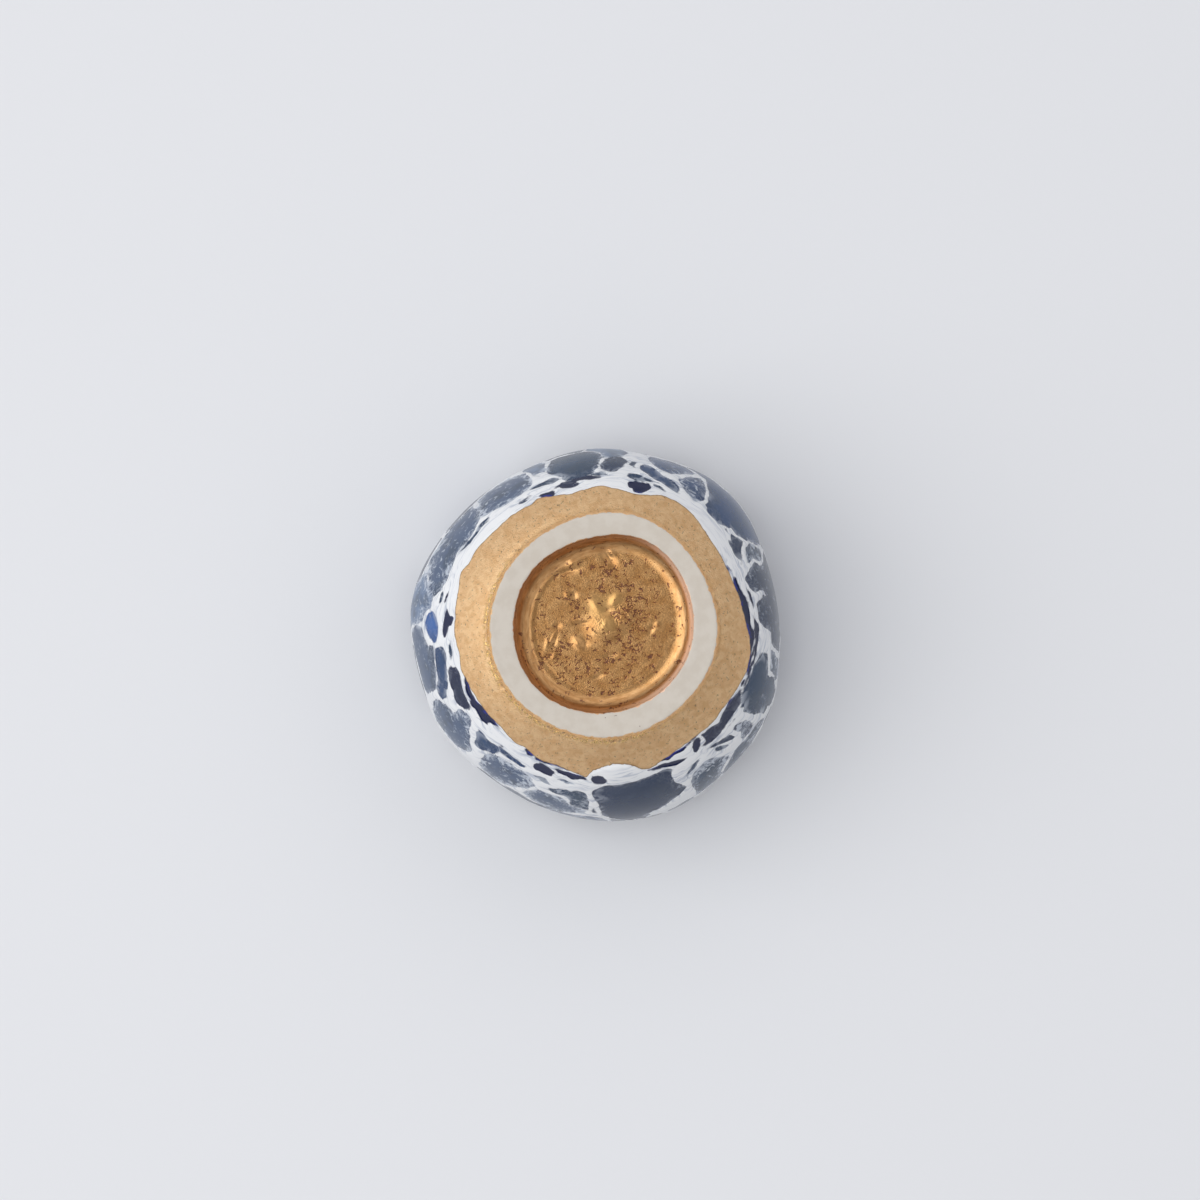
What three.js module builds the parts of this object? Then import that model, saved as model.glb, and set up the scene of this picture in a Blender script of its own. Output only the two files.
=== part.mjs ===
// Sake cup: one hand-formed piece of porcelain with a broad gilded foot, turned over to stand on its lip.
// Millimetres, +Z up. The origin is on the surface that the lip stands on, in the middle of the cup's width
// and depth. The cup is a turned profile that is then pushed out of round: three soft lobes at the belly and
// a foot that sits a little to one side of the mouth.
import * as THREE from 'three';
import { mergeVertices } from 'three/addons/utils/BufferGeometryUtils.js';

// Body
const CUP_HEIGHT = 50;
const BELLY_RADIUS = 32.9;
const BELLY_LEVEL = 24;
const WALL_THICKNESS = 3.2;
const BOWL_FLOOR_THICKNESS = 4.6;
const BOWL_SQUARENESS = 2.4;

// Lip
const LIP_TUCK = 1.7;
const LIP_THICKNESS = 2.4;
const LIP_FLAT = 0.8;

// Foot ring and the recess inside it
const FOOT_RADIUS = 19.5;
const FOOT_RING_WIDTH = 4;
const FOOT_RING_HEIGHT = 1.8;
const FOOT_RING_FLARE = 0.4;
const FOOT_EDGE_ROUND = 0.35;
const RECESS_DEPTH = 3.6;
const RECESS_COVE_RUN = 3;
const NAVEL_RADIUS = 4.3;
const NAVEL_HEIGHT = 0.35;

// Hand forming: how far the foot's middle lies from the body's, and each outline's waves.
// A wave has a number of lobes, the height of its crest and the direction of one crest, in degrees from +X.
const FOOT_SHIFT_X = 0.7;
const FOOT_SHIFT_Y = 1.6;
const LIP_WAVE_SHARE = 0.6;
const BELLY_WAVES = [
  { lobes: 2, crest: 0.1, toward: 124 },
  { lobes: 3, crest: 0.73, toward: 56 },
  { lobes: 4, crest: 0.11, toward: 64 },
  { lobes: 5, crest: 0.1, toward: 45 },
  { lobes: 6, crest: 0.26, toward: 42 },
  { lobes: 9, crest: 0.14, toward: 11 },
];
const FOOT_WAVES = [
  { lobes: 2, crest: 0.18, toward: 28 },
  { lobes: 3, crest: 0.2, toward: 80 },
  { lobes: 4, crest: 0.14, toward: 80 },
  { lobes: 5, crest: 0.11, toward: 68 },
];
const RECESS_WAVES = [
  { lobes: 1, crest: 0.3, toward: 90 },
  { lobes: 2, crest: 0.38, toward: 36 },
  { lobes: 3, crest: 0.1, toward: 65 },
  { lobes: 4, crest: 0.17, toward: 57 },
  { lobes: 5, crest: 0.09, toward: 67 },
];

// Fineness of the mesh: faces around, and faces along each stretch of the profile
const AROUND = 72;
const STEPS = {
  navel: 4, recessFloor: 2, cove: 5, edge: 2, shoulder: 9, skirt: 6, lip: 3, innerWall: 5, bowl: 11,
};

const FOOT_INNER_RADIUS = FOOT_RADIUS - FOOT_RING_WIDTH;
const NECK_RADIUS = FOOT_RADIUS + FOOT_RING_FLARE;
const NECK_LEVEL = CUP_HEIGHT - FOOT_RING_HEIGHT;
const RECESS_LEVEL = CUP_HEIGHT - RECESS_DEPTH;
const RECESS_FLOOR_RADIUS = FOOT_INNER_RADIUS - RECESS_COVE_RUN;
const BOWL_LEVEL = RECESS_LEVEL - BOWL_FLOOR_THICKNESS;
const LIP_RADIUS = BELLY_RADIUS - LIP_TUCK;
const LIP_ROUND = (LIP_THICKNESS - LIP_FLAT) / 2;

/** Points along a curve given as (share from 0 to 1) => [radius, level], without its first point. */
function stretch(steps, curve) {
  return Array.from({ length: steps }, (_, i) => new THREE.Vector2(...curve((i + 1) / steps)));
}

/** A quarter turn's angle for a share of an arc. */
function quarter(share) {
  return (share * Math.PI) / 2;
}

/** The middle of the recess: a low round navel that fades into a flat floor. */
function recessFloor() {
  const navel = (t) => [NAVEL_RADIUS * t, RECESS_LEVEL + NAVEL_HEIGHT * Math.cos(quarter(t)) ** 2];
  const floor = (t) => [THREE.MathUtils.lerp(NAVEL_RADIUS, RECESS_FLOOR_RADIUS, t), RECESS_LEVEL];
  const middle = new THREE.Vector2(...navel(0));
  return [middle, ...stretch(STEPS.navel, navel), ...stretch(STEPS.recessFloor, floor)];
}

/** The recess's coved wall, the foot ring's flat face with its soft edges, and its flared outer wall. */
function footRing() {
  const coveTop = CUP_HEIGHT - FOOT_EDGE_ROUND;
  const cove = (t) => [
    RECESS_FLOOR_RADIUS + RECESS_COVE_RUN * Math.sin(quarter(t)),
    coveTop - (coveTop - RECESS_LEVEL) * Math.cos(quarter(t)),
  ];
  const innerEdge = (t) => [
    FOOT_INNER_RADIUS + FOOT_EDGE_ROUND * (1 - Math.cos(quarter(t))),
    coveTop + FOOT_EDGE_ROUND * Math.sin(quarter(t)),
  ];
  const outerEdge = (t) => [
    FOOT_RADIUS - FOOT_EDGE_ROUND * (1 - Math.sin(quarter(t))),
    coveTop + FOOT_EDGE_ROUND * Math.cos(quarter(t)),
  ];
  return [
    ...stretch(STEPS.cove, cove),
    ...stretch(STEPS.edge, innerEdge),
    new THREE.Vector2(...outerEdge(0)),
    ...stretch(STEPS.edge, outerEdge),
    new THREE.Vector2(NECK_RADIUS, NECK_LEVEL),
  ];
}

/** The gilded shoulder and the wall down to the belly: part of an ellipse that is upright at the belly. */
function shoulder() {
  const neckAngle = Math.acos(NECK_RADIUS / BELLY_RADIUS);
  const rise = (NECK_LEVEL - BELLY_LEVEL) / Math.sin(neckAngle);
  return stretch(STEPS.shoulder, (t) => {
    const angle = neckAngle * (1 - t);
    return [BELLY_RADIUS * Math.cos(angle), BELLY_LEVEL + rise * Math.sin(angle)];
  });
}

/** The outer wall from the belly to the lip, which tucks in a little. */
function skirt() {
  return stretch(STEPS.skirt, (t) => {
    return [BELLY_RADIUS - LIP_TUCK * t * t, THREE.MathUtils.lerp(BELLY_LEVEL, LIP_ROUND, t)];
  });
}

/** The rounded lip, with the narrow flat that it stands on. */
function lip() {
  const outer = (t) => [
    LIP_RADIUS - LIP_ROUND * (1 - Math.cos(quarter(t))),
    LIP_ROUND * (1 - Math.sin(quarter(t))),
  ];
  const inner = (t) => [
    LIP_RADIUS - LIP_THICKNESS + LIP_ROUND * (1 - Math.sin(quarter(t))),
    LIP_ROUND * (1 - Math.cos(quarter(t))),
  ];
  return [...stretch(STEPS.lip, outer), new THREE.Vector2(...inner(0)), ...stretch(STEPS.lip, inner)];
}

/** The inside: up the wall, which thickens from lip to belly, and over the bowl's rounded bottom. */
function inside() {
  const bellyInner = BELLY_RADIUS - WALL_THICKNESS;
  const lipInner = LIP_RADIUS - LIP_THICKNESS;
  const wall = (t) => [
    THREE.MathUtils.lerp(lipInner, bellyInner, 1 - (1 - t) * (1 - t)),
    THREE.MathUtils.lerp(LIP_ROUND, BELLY_LEVEL, t),
  ];
  const bowl = (t) => [
    bellyInner * Math.max(0, Math.cos(quarter(t))) ** (2 / BOWL_SQUARENESS),
    BELLY_LEVEL + (BOWL_LEVEL - BELLY_LEVEL) * Math.sin(quarter(t)) ** (2 / BOWL_SQUARENESS),
  ];
  const bottom = new THREE.Vector2(0, BOWL_LEVEL);
  return [...stretch(STEPS.innerWall, wall), ...stretch(STEPS.bowl, bowl).slice(0, -1), bottom];
}

/** The height of an outline's waves in one direction. */
function waveHeight(waves, direction) {
  return waves.reduce((sum, wave) => {
    return sum + wave.crest * Math.cos(wave.lobes * (direction - THREE.MathUtils.degToRad(wave.toward)));
  }, 0);
}

/** Pushes one point of the turned form to its place in the hand-formed one. */
function handForm(point) {
  const radius = Math.hypot(point.x, point.y);
  const direction = Math.atan2(point.y, point.x);
  const footShare = THREE.MathUtils.smoothstep(point.z, BELLY_LEVEL, NECK_LEVEL);
  const climb = THREE.MathUtils.smoothstep(point.z, 0, BELLY_LEVEL);
  const bellyShare = THREE.MathUtils.lerp(LIP_WAVE_SHARE, 1, climb);
  const ringShare = THREE.MathUtils.clamp((radius - FOOT_INNER_RADIUS) / FOOT_RING_WIDTH, 0, 1);
  const belly = (bellyShare * waveHeight(BELLY_WAVES, direction)) / BELLY_RADIUS;
  const foot = waveHeight(FOOT_WAVES, direction) / FOOT_RADIUS;
  const recess = waveHeight(RECESS_WAVES, direction) / FOOT_INNER_RADIUS;
  const swell = 1 + THREE.MathUtils.lerp(belly, THREE.MathUtils.lerp(recess, foot, ringShare), footShare);
  point.x = radius * swell * Math.cos(direction) + FOOT_SHIFT_X * footShare;
  point.y = radius * swell * Math.sin(direction) + FOOT_SHIFT_Y * footShare;
  return point;
}

/** The whole cup as one closed mesh, centred on its width and depth. */
function cupGeometry() {
  const profile = [...recessFloor(), ...footRing(), ...shoulder(), ...skirt(), ...lip(), ...inside()];
  const turned = new THREE.LatheGeometry(profile.reverse(), AROUND);
  turned.deleteAttribute('normal');
  turned.deleteAttribute('uv');
  turned.rotateX(Math.PI / 2);
  const geometry = mergeVertices(turned, 1e-4);
  const corners = geometry.getIndex().array;
  const kept = [];
  for (let i = 0; i < corners.length; i += 3) {
    const [a, b, c] = corners.slice(i, i + 3);
    if (a !== b && b !== c && c !== a) kept.push(a, b, c);
  }
  geometry.setIndex(kept);
  const places = geometry.getAttribute('position');
  const point = new THREE.Vector3();
  for (let i = 0; i < places.count; i += 1) {
    handForm(point.fromBufferAttribute(places, i));
    places.setXYZ(i, point.x, point.y, point.z);
  }
  geometry.computeBoundingBox();
  const middle = geometry.boundingBox.getCenter(new THREE.Vector3());
  geometry.translate(-middle.x, -middle.y, 0);
  return geometry;
}

const glaze = new THREE.MeshStandardMaterial({ color: 0x6f7f99, roughness: 0.3, metalness: 0 });
const cup = new THREE.Mesh(cupGeometry(), glaze);
cup.name = 'sake_cup';

const group = new THREE.Group();
group.add(cup);

export default group;
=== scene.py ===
"""A small sake cup of marbled porcelain with a gilded foot, turned over to stand on its lip.

The cup is one finely modelled piece around the plain solid of the same sizes. Its outside carries cobalt
glaze marbled with white, matt gold lustre on the shoulder, bare clay on the foot ring's face and glossy
gold in the recess. Lengths are millimetres until a mesh is written, and angles are degrees from +X.
"""

import itertools
import logging
import math
from dataclasses import dataclass
from enum import Enum
from functools import partial
from typing import Any, Callable

import bpy
import numpy as np
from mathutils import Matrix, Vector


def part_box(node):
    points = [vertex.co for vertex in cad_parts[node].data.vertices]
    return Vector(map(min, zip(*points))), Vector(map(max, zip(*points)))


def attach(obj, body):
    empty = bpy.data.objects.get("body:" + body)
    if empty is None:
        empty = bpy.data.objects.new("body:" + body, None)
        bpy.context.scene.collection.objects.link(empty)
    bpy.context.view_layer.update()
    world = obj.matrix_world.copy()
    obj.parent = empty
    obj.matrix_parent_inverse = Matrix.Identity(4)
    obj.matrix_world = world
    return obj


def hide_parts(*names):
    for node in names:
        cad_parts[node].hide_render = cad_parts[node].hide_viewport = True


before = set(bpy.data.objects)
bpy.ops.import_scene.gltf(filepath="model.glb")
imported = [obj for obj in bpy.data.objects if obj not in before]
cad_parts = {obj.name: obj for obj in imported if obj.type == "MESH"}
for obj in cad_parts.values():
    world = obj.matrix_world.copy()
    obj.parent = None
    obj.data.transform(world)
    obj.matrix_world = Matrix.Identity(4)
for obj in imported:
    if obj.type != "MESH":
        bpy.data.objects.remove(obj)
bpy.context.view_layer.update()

LOG = logging.getLogger("sake_cup")
METRES = 0.001
SOLID = "sake_cup"
QUARTER = math.pi / 2

Point = tuple[float, float]
Curve = Callable[[np.ndarray], tuple[np.ndarray, np.ndarray]]


def linear(code: str) -> tuple[float, float, float, float]:
    """Turns an sRGB hex colour into a linear one with full alpha.

    Args:
        code: six hex digits, two each for red, green and blue.

    Returns:
        Red, green, blue and alpha. Each channel c becomes c / 12.92 where dark, else
        ((c + 0.055) / 1.055) to the power 2.4.
    """
    shares = [int(code[i : i + 2], 16) / 255 for i in (0, 2, 4)]
    red, green, blue = (c / 12.92 if c <= 0.04045 else ((c + 0.055) / 1.055) ** 2.4 for c in shares)
    return red, green, blue, 1.0


def smooth(values: np.ndarray, start: float, end: float) -> np.ndarray:
    """Rises from 0 at start to 1 at end as t * t * (3 - 2 * t), where t is the clamped share of the way."""
    share = np.clip((values - start) / (end - start), 0, 1)
    return share * share * (3 - 2 * share)


def along_and_across(places: np.ndarray, degrees: float) -> tuple[np.ndarray, np.ndarray]:
    """Reads plane places in axes that are turned by an angle.

    Args:
        places: complex numbers, x + iy.
        degrees: how far the axes are turned.

    Returns:
        The distance along the turned axis and the distance across it.
    """
    seen = places * np.exp(-1j * math.radians(degrees))
    return seen.real, seen.imag


class Noise:
    """Seeded smooth noise in space: random values on a cubic lattice, blended between its corners."""

    CELLS = 32

    def __init__(self, seed: int) -> None:
        """Draws the lattice's values, from -1 to 1."""
        self.table = np.random.default_rng(seed).uniform(-1, 1, (self.CELLS,) * 3)

    def at(self, points: np.ndarray, size: float) -> np.ndarray:
        """Gives the noise at points, as the sum over a cell's 8 corners of value times smooth weight.

        Args:
            points: one row of x, y, z for each point.
            size: the lattice's spacing, in the points' units.

        Returns:
            One value from -1 to 1 for each point.
        """
        low = np.floor(points / size).astype(int)
        share = points / size - low
        share = share * share * (3 - 2 * share)
        total = np.zeros(len(points))
        for corner in itertools.product((0, 1), repeat=3):
            weight = np.where(corner, share, 1 - share).prod(axis=1)
            total += weight * self.table[tuple(((low + corner) % self.CELLS).T)]
        return total


def line(start: Point, end: Point) -> Curve:
    """A straight stretch: start + (end - start) * share."""
    return lambda t: (start[0] + (end[0] - start[0]) * t, start[1] + (end[1] - start[1]) * t)


def bend(start: Point, end: Point, upright: bool) -> Curve:
    """A quarter of an ellipse between two points.

    Args:
        start: radius and level of the first point.
        end: radius and level of the last point.
        upright: whether the curve leaves the first point upright and reaches the last one level.

    Returns:
        The curve: one coordinate goes by the sine of share * 90 degrees, the other by 1 - its cosine.
    """

    def curve(t: np.ndarray) -> tuple[np.ndarray, np.ndarray]:
        """Gives radius and level for each share."""
        fast, slow = np.sin(QUARTER * t), 1 - np.cos(QUARTER * t)
        out, up = (slow, fast) if upright else (fast, slow)
        return start[0] + (end[0] - start[0]) * out, start[1] + (end[1] - start[1]) * up

    return curve


@dataclass(frozen=True)
class Stretch:
    """A stretch of the turned profile: its rows, the widest face round it in mm, and its curve."""

    rows: int
    fineness: float
    curve: Curve


@dataclass(frozen=True)
class Wave:
    """One wave of an outline: how many lobes it has, its crest's height and the way that one crest faces."""

    lobes: int
    crest: float
    toward: float


def wave_height(waves: tuple[Wave, ...], direction: np.ndarray) -> np.ndarray:
    """Adds up an outline's waves: each is crest * cos(lobes * (direction - toward))."""
    return sum(w.crest * np.cos(w.lobes * (direction - math.radians(w.toward))) for w in waves)


@dataclass
class Skin:
    """The cup's skin, with one entry for each vertex in the arrays, and its faces as lists of corners.

    Attributes:
        direction: angle about the turned form's axis, in radians.
        radius: distance from that axis before the hand forming.
        depth: length along the profile from the neck, below nought on the ring and in the recess.
        places: x, y and z after the hand forming.
        faces: arrays of corners, four or three to a face.
        ends: the depth at which each stretch of the profile ends.
    """

    direction: np.ndarray
    radius: np.ndarray
    depth: np.ndarray
    places: np.ndarray
    faces: list[np.ndarray]
    ends: dict[str, float]


def ring_faces(first: int, count: int, next_first: int, next_count: int) -> np.ndarray:
    """Joins one ring of vertices to the next, which has as many, half or twice as many, or is one point.

    Args:
        first: index of the ring's first vertex.
        count: how many vertices the ring has.
        next_first: index of the next ring's first vertex.
        next_count: how many vertices the next ring has.

    Returns:
        The faces' corners. Equal rings give quads. Otherwise each pair of neighbours in the coarser ring
        gives three triangles, or one where a ring is a point.
    """
    step = np.arange(min(count, next_count) if min(count, next_count) > 1 else max(count, next_count))

    def here(k: np.ndarray) -> np.ndarray:
        """Vertices of the first ring."""
        return first + k % count

    def there(k: np.ndarray) -> np.ndarray:
        """Vertices of the next ring."""
        return next_first + k % next_count

    if count == next_count:
        return np.column_stack([here(step), there(step), there(step + 1), here(step + 1)])
    if count == 1:
        return np.column_stack([here(step), there(step), there(step + 1)])
    if next_count == 1:
        return np.column_stack([here(step), there(step), here(step + 1)])
    if count < next_count:
        corners = [
            (here(step), there(2 * step), there(2 * step + 1)),
            (here(step), there(2 * step + 1), here(step + 1)),
            (here(step + 1), there(2 * step + 1), there(2 * step + 2)),
        ]
    else:
        corners = [
            (here(2 * step), there(step), here(2 * step + 1)),
            (here(2 * step + 1), there(step), there(step + 1)),
            (here(2 * step + 1), there(step + 1), here(2 * step + 2)),
        ]
    return np.concatenate([np.column_stack(corner) for corner in corners])


@dataclass
class CupForm:
    """The turned profile and its hand forming, with the sizes of the solid that the piece stands for."""

    height: float = 50.0
    belly_radius: float = 32.9
    belly_level: float = 24.0
    wall: float = 3.2
    bowl_floor: float = 4.6
    bowl_squareness: float = 2.4
    lip_tuck: float = 1.7
    lip_thickness: float = 2.4
    lip_flat: float = 0.8
    foot_radius: float = 19.5
    ring_width: float = 4.0
    ring_height: float = 1.8
    ring_flare: float = 0.4
    edge_round: float = 0.35
    recess_depth: float = 3.6
    cove_run: float = 3.0
    navel_radius: float = 4.3
    navel_height: float = 0.35
    foot_shift: Point = (0.7, 1.6)
    lip_wave_share: float = 0.6
    belly_waves: tuple[Wave, ...] = (
        Wave(2, 0.1, 124),
        Wave(3, 0.73, 56),
        Wave(4, 0.11, 64),
        Wave(5, 0.1, 45),
        Wave(6, 0.26, 42),
        Wave(9, 0.14, 11),
    )
    foot_waves: tuple[Wave, ...] = (Wave(2, 0.18, 28), Wave(3, 0.2, 80), Wave(4, 0.14, 80), Wave(5, 0.11, 68))
    recess_waves: tuple[Wave, ...] = (
        Wave(1, 0.3, 90),
        Wave(2, 0.38, 36),
        Wave(3, 0.1, 65),
        Wave(4, 0.17, 57),
        Wave(5, 0.09, 67),
    )
    fewest_columns: int = 72

    def __post_init__(self) -> None:
        """Works out the radii and levels that follow from the sizes."""
        self.inner_radius = self.foot_radius - self.ring_width
        self.neck_radius = self.foot_radius + self.ring_flare
        self.neck_level = self.height - self.ring_height
        self.recess_level = self.height - self.recess_depth
        self.recess_radius = self.inner_radius - self.cove_run
        self.bowl_level = self.recess_level - self.bowl_floor
        self.lip_radius = self.belly_radius - self.lip_tuck
        self.lip_round = (self.lip_thickness - self.lip_flat) / 2

    def navel(self, t: np.ndarray) -> tuple[np.ndarray, np.ndarray]:
        """The recess's middle: radius navel_radius * t, raised by navel_height * cos(90 degrees * t)^2."""
        return self.navel_radius * t, self.recess_level + self.navel_height * np.cos(QUARTER * t) ** 2

    def shoulder(self, t: np.ndarray) -> tuple[np.ndarray, np.ndarray]:
        """From the neck to the belly.

        Args:
            t: shares of the stretch.

        Returns:
            Radius by the cosine and level by the sine of one falling angle.
        """
        neck = math.acos(self.neck_radius / self.belly_radius)
        rise = (self.neck_level - self.belly_level) / math.sin(neck)
        angle = neck * (1 - t)
        return self.belly_radius * np.cos(angle), self.belly_level + rise * np.sin(angle)

    def skirt(self, t: np.ndarray) -> tuple[np.ndarray, np.ndarray]:
        """From the belly to the lip: the level falls evenly and the radius by lip_tuck * t squared."""
        level = self.belly_level + (self.lip_round - self.belly_level) * t
        return self.belly_radius - self.lip_tuck * t * t, level

    def inner_wall(self, t: np.ndarray) -> tuple[np.ndarray, np.ndarray]:
        """Up the inside from the lip to the belly's level.

        Args:
            t: shares of the stretch.

        Returns:
            A radius that grows by 1 - (1 - t) squared, and an even level.
        """
        lip, belly = self.lip_radius - self.lip_thickness, self.belly_radius - self.wall
        radius = lip + (belly - lip) * (1 - (1 - t) ** 2)
        return radius, self.lip_round + (self.belly_level - self.lip_round) * t

    def bowl(self, t: np.ndarray) -> tuple[np.ndarray, np.ndarray]:
        """The bowl's bottom: a superellipse, so both coordinates are powers of a sine and a cosine."""
        power = 2 / self.bowl_squareness
        radius = (self.belly_radius - self.wall) * np.cos(QUARTER * t).clip(0) ** power
        return radius, self.belly_level + (self.bowl_level - self.belly_level) * np.sin(QUARTER * t) ** power

    def stretches(self) -> dict[str, Stretch]:
        """Names the profile's stretches.

        Returns:
            Them in order, from the middle of the recess to the middle of the bowl.
        """
        soft, lip, top = self.edge_round, self.lip_round, self.height
        face_in, face_out = self.inner_radius + soft, self.foot_radius - soft
        inner_lip = self.lip_radius - self.lip_thickness
        floor_in = (self.navel_radius, self.recess_level)
        floor_out = (self.recess_radius, self.recess_level)
        neck_top, neck_foot = (self.foot_radius, top - soft), (self.neck_radius, self.neck_level)
        return {
            "navel": Stretch(20, 0.275, self.navel),
            "recess floor": Stretch(37, 0.275, line(floor_in, floor_out)),
            "cove": Stretch(14, 0.35, bend(floor_out, (self.inner_radius, top - soft), False)),
            "inner edge": Stretch(3, 0.35, bend((self.inner_radius, top - soft), (face_in, top), True)),
            "ring face": Stretch(8, 0.42, line((face_in, top), (face_out, top))),
            "outer edge": Stretch(3, 0.42, bend((face_out, top), neck_top, False)),
            "neck": Stretch(4, 0.36, line(neck_top, neck_foot)),
            "shoulder": Stretch(72, 0.36, self.shoulder),
            "skirt": Stretch(44, 0.36, self.skirt),
            "lip": Stretch(4, 0.36, bend((self.lip_radius, lip), (self.lip_radius - lip, 0), True)),
            "lip flat": Stretch(2, 1.0, line((self.lip_radius - lip, 0), (inner_lip + lip, 0))),
            "inner lip": Stretch(4, 1.0, bend((inner_lip + lip, 0), (inner_lip, lip), False)),
            "inner wall": Stretch(10, 1.4, self.inner_wall),
            "bowl": Stretch(22, 1.4, self.bowl),
        }

    def formed(self, radius: np.ndarray, direction: np.ndarray, level: np.ndarray) -> np.ndarray:
        """Pushes the turned form out of round, as the solid is.

        Args:
            radius: distance from the axis in the turned form.
            direction: angle about the axis, in radians.
            level: height above the ground.

        Returns:
            One row of x, y and z for each entry. The radius is swelled by the belly's waves, the foot's or
            the recess's, blended by level and by the way across the ring. Then the foot is moved aside.
        """
        foot = smooth(level, self.belly_level, self.neck_level)
        climb = smooth(level, 0, self.belly_level)
        belly_share = self.lip_wave_share + (1 - self.lip_wave_share) * climb
        ring = np.clip((radius - self.inner_radius) / self.ring_width, 0, 1)
        belly_swell = belly_share * wave_height(self.belly_waves, direction) / self.belly_radius
        foot_swell = wave_height(self.foot_waves, direction) / self.foot_radius
        recess_swell = wave_height(self.recess_waves, direction) / self.inner_radius
        upper = recess_swell + (foot_swell - recess_swell) * ring
        reach = radius * (1 + belly_swell + (upper - belly_swell) * foot)
        x = reach * np.cos(direction) + self.foot_shift[0] * foot
        y = reach * np.sin(direction) + self.foot_shift[1] * foot
        return np.column_stack([x, y, level])

    def skin(self) -> Skin:
        """Turns the profile about the axis, forms it by hand and centres it on its width and depth.

        Returns:
            The skin. A ring has the fewest columns times a power of two, so many that its faces are as narrow
            as its stretch asks, but never more than twice or less than half the last ring's.
        """
        radius, level = [np.zeros(1)], [np.array([self.recess_level + self.navel_height])]
        finest, ends = [1.0], {}
        for name, stretch in self.stretches().items():
            r, z = stretch.curve(np.linspace(0, 1, stretch.rows + 1)[1:])
            radius.append(r)
            level.append(z * np.ones_like(r))
            finest += [stretch.fineness] * stretch.rows
            ends[name] = len(finest) - 1
        rows_r, rows_z = np.concatenate(radius), np.concatenate(level)
        run = np.concatenate([[0], np.cumsum(np.hypot(np.diff(rows_r), np.diff(rows_z)))])
        run -= run[ends["neck"]]
        wanted = np.log2(np.maximum(2 * np.pi * rows_r / np.array(finest) / self.fewest_columns, 1))
        power = np.ceil(wanted - 1e-6).astype(int)
        for i in range(1, len(power)):
            power[i] = min(max(power[i], power[i - 1] - 1), power[i - 1] + 1)
        counts = self.fewest_columns * 2**power
        counts[0] = counts[-1] = 1
        first = np.concatenate([[0], np.cumsum(counts)])
        row = np.repeat(np.arange(len(counts)), counts)
        direction = 2 * np.pi * (np.arange(first[-1]) - first[row]) / counts[row]
        places = self.formed(rows_r[row], direction, rows_z[row])
        places[:, :2] -= (places[:, :2].min(0) + places[:, :2].max(0)) / 2
        pairs = zip(first, counts, first[1:], counts[1:])
        faces = [ring_faces(*pair) for pair in pairs]
        depths = {name: run[i] for name, i in ends.items()}
        return Skin(direction, rows_r[row], run[row], places, faces, depths)


class Tone(Enum):
    """The cobalt glaze's tones, from thin haze to pooled ink: colour, and how much white has clouded it."""

    HAZE = ("647A9A", 1.0)
    MIST = ("455876", 1.0)
    DUSK = ("1C3A58", 0.8)
    SLATE = ("0D294A", 0.5)
    STEEL = ("123C6A", 0.6)
    BLUE = ("3562A6", 0.5)
    PLUM = ("0E1C3E", 0.2)
    INK = ("03123E", 0.0)

    def __init__(self, colour: str, milkiness: float) -> None:
        """Takes the tone's colour and its milkiness, from 0 to 1."""
        self.colour = colour
        self.milkiness = milkiness


# An oval this much longer than it is wide is slender. The powers of the outline give a slender oval pointed
# ends and a stout one squarish corners. Its taper leaves its width within this range of shares.
SLENDER = 3.0
POINTED = 1.5
SQUARISH = 2.6
TAPERED = (0.15, 2.0)


@dataclass(frozen=True)
class Lobe:
    """An oval on the wall.

    Attributes:
        angle: where it lies about the cup, in degrees.
        depth: where it lies down the wall from the neck, in mm.
        half_width: half its size around the cup.
        half_height: half its size down the wall.
        tilt: degrees by which its long way runs down as the angle grows.
        taper: share by which it narrows from its middle to its lower edge, and widens to its upper one.
    """

    angle: float
    depth: float
    half_width: float
    half_height: float
    tilt: float = 0.0
    taper: float = 0.0

    def field(self, direction: np.ndarray, radius: np.ndarray, depth: np.ndarray) -> np.ndarray:
        """Gives about how many mm inside the oval each point lies, and below nought outside.

        Args:
            direction: each point's angle about the cup, in radians.
            radius: each point's distance from the axis.
            depth: each point's way down the wall.

        Returns:
            (1 - reach) times the smaller half size, where reach is the root of the sum of powers of the two
            shares of the half sizes. Slender ovals have pointed ends and stout ones squarish corners.
        """
        turn = np.angle(np.exp(1j * (direction - math.radians(self.angle))))
        along, across = along_and_across(turn * radius + 1j * (depth - self.depth), self.tilt)
        half = self.half_width * np.clip(1 - self.taper * across / self.half_height, *TAPERED)
        slender = max(self.half_width, self.half_height) > SLENDER * min(self.half_width, self.half_height)
        power = POINTED if slender else SQUARISH
        reach = (np.abs(along / half) ** power + np.abs(across / self.half_height) ** power) ** (1 / power)
        return (1 - reach) * min(self.half_width, self.half_height)


@dataclass(frozen=True)
class Pool:
    """A pool of cobalt glaze between white veins: its tone, the ovals that it is made of, and its foam."""

    tone: Tone
    lobes: tuple[Lobe, ...]
    foam: float = 0.0

    def half_size(self) -> float:
        """Gives half the width of the pool's widest oval across its short way."""
        return max(min(lobe.half_width, lobe.half_height) for lobe in self.lobes)


def pool(tone: Tone, *ovals: tuple[float, ...], foam: float = 0.0) -> Pool:
    """Makes a pool from its ovals' sizes, each given in the order of Lobe's attributes."""
    return Pool(tone, tuple(Lobe(*oval) for oval in ovals), foam)


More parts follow.
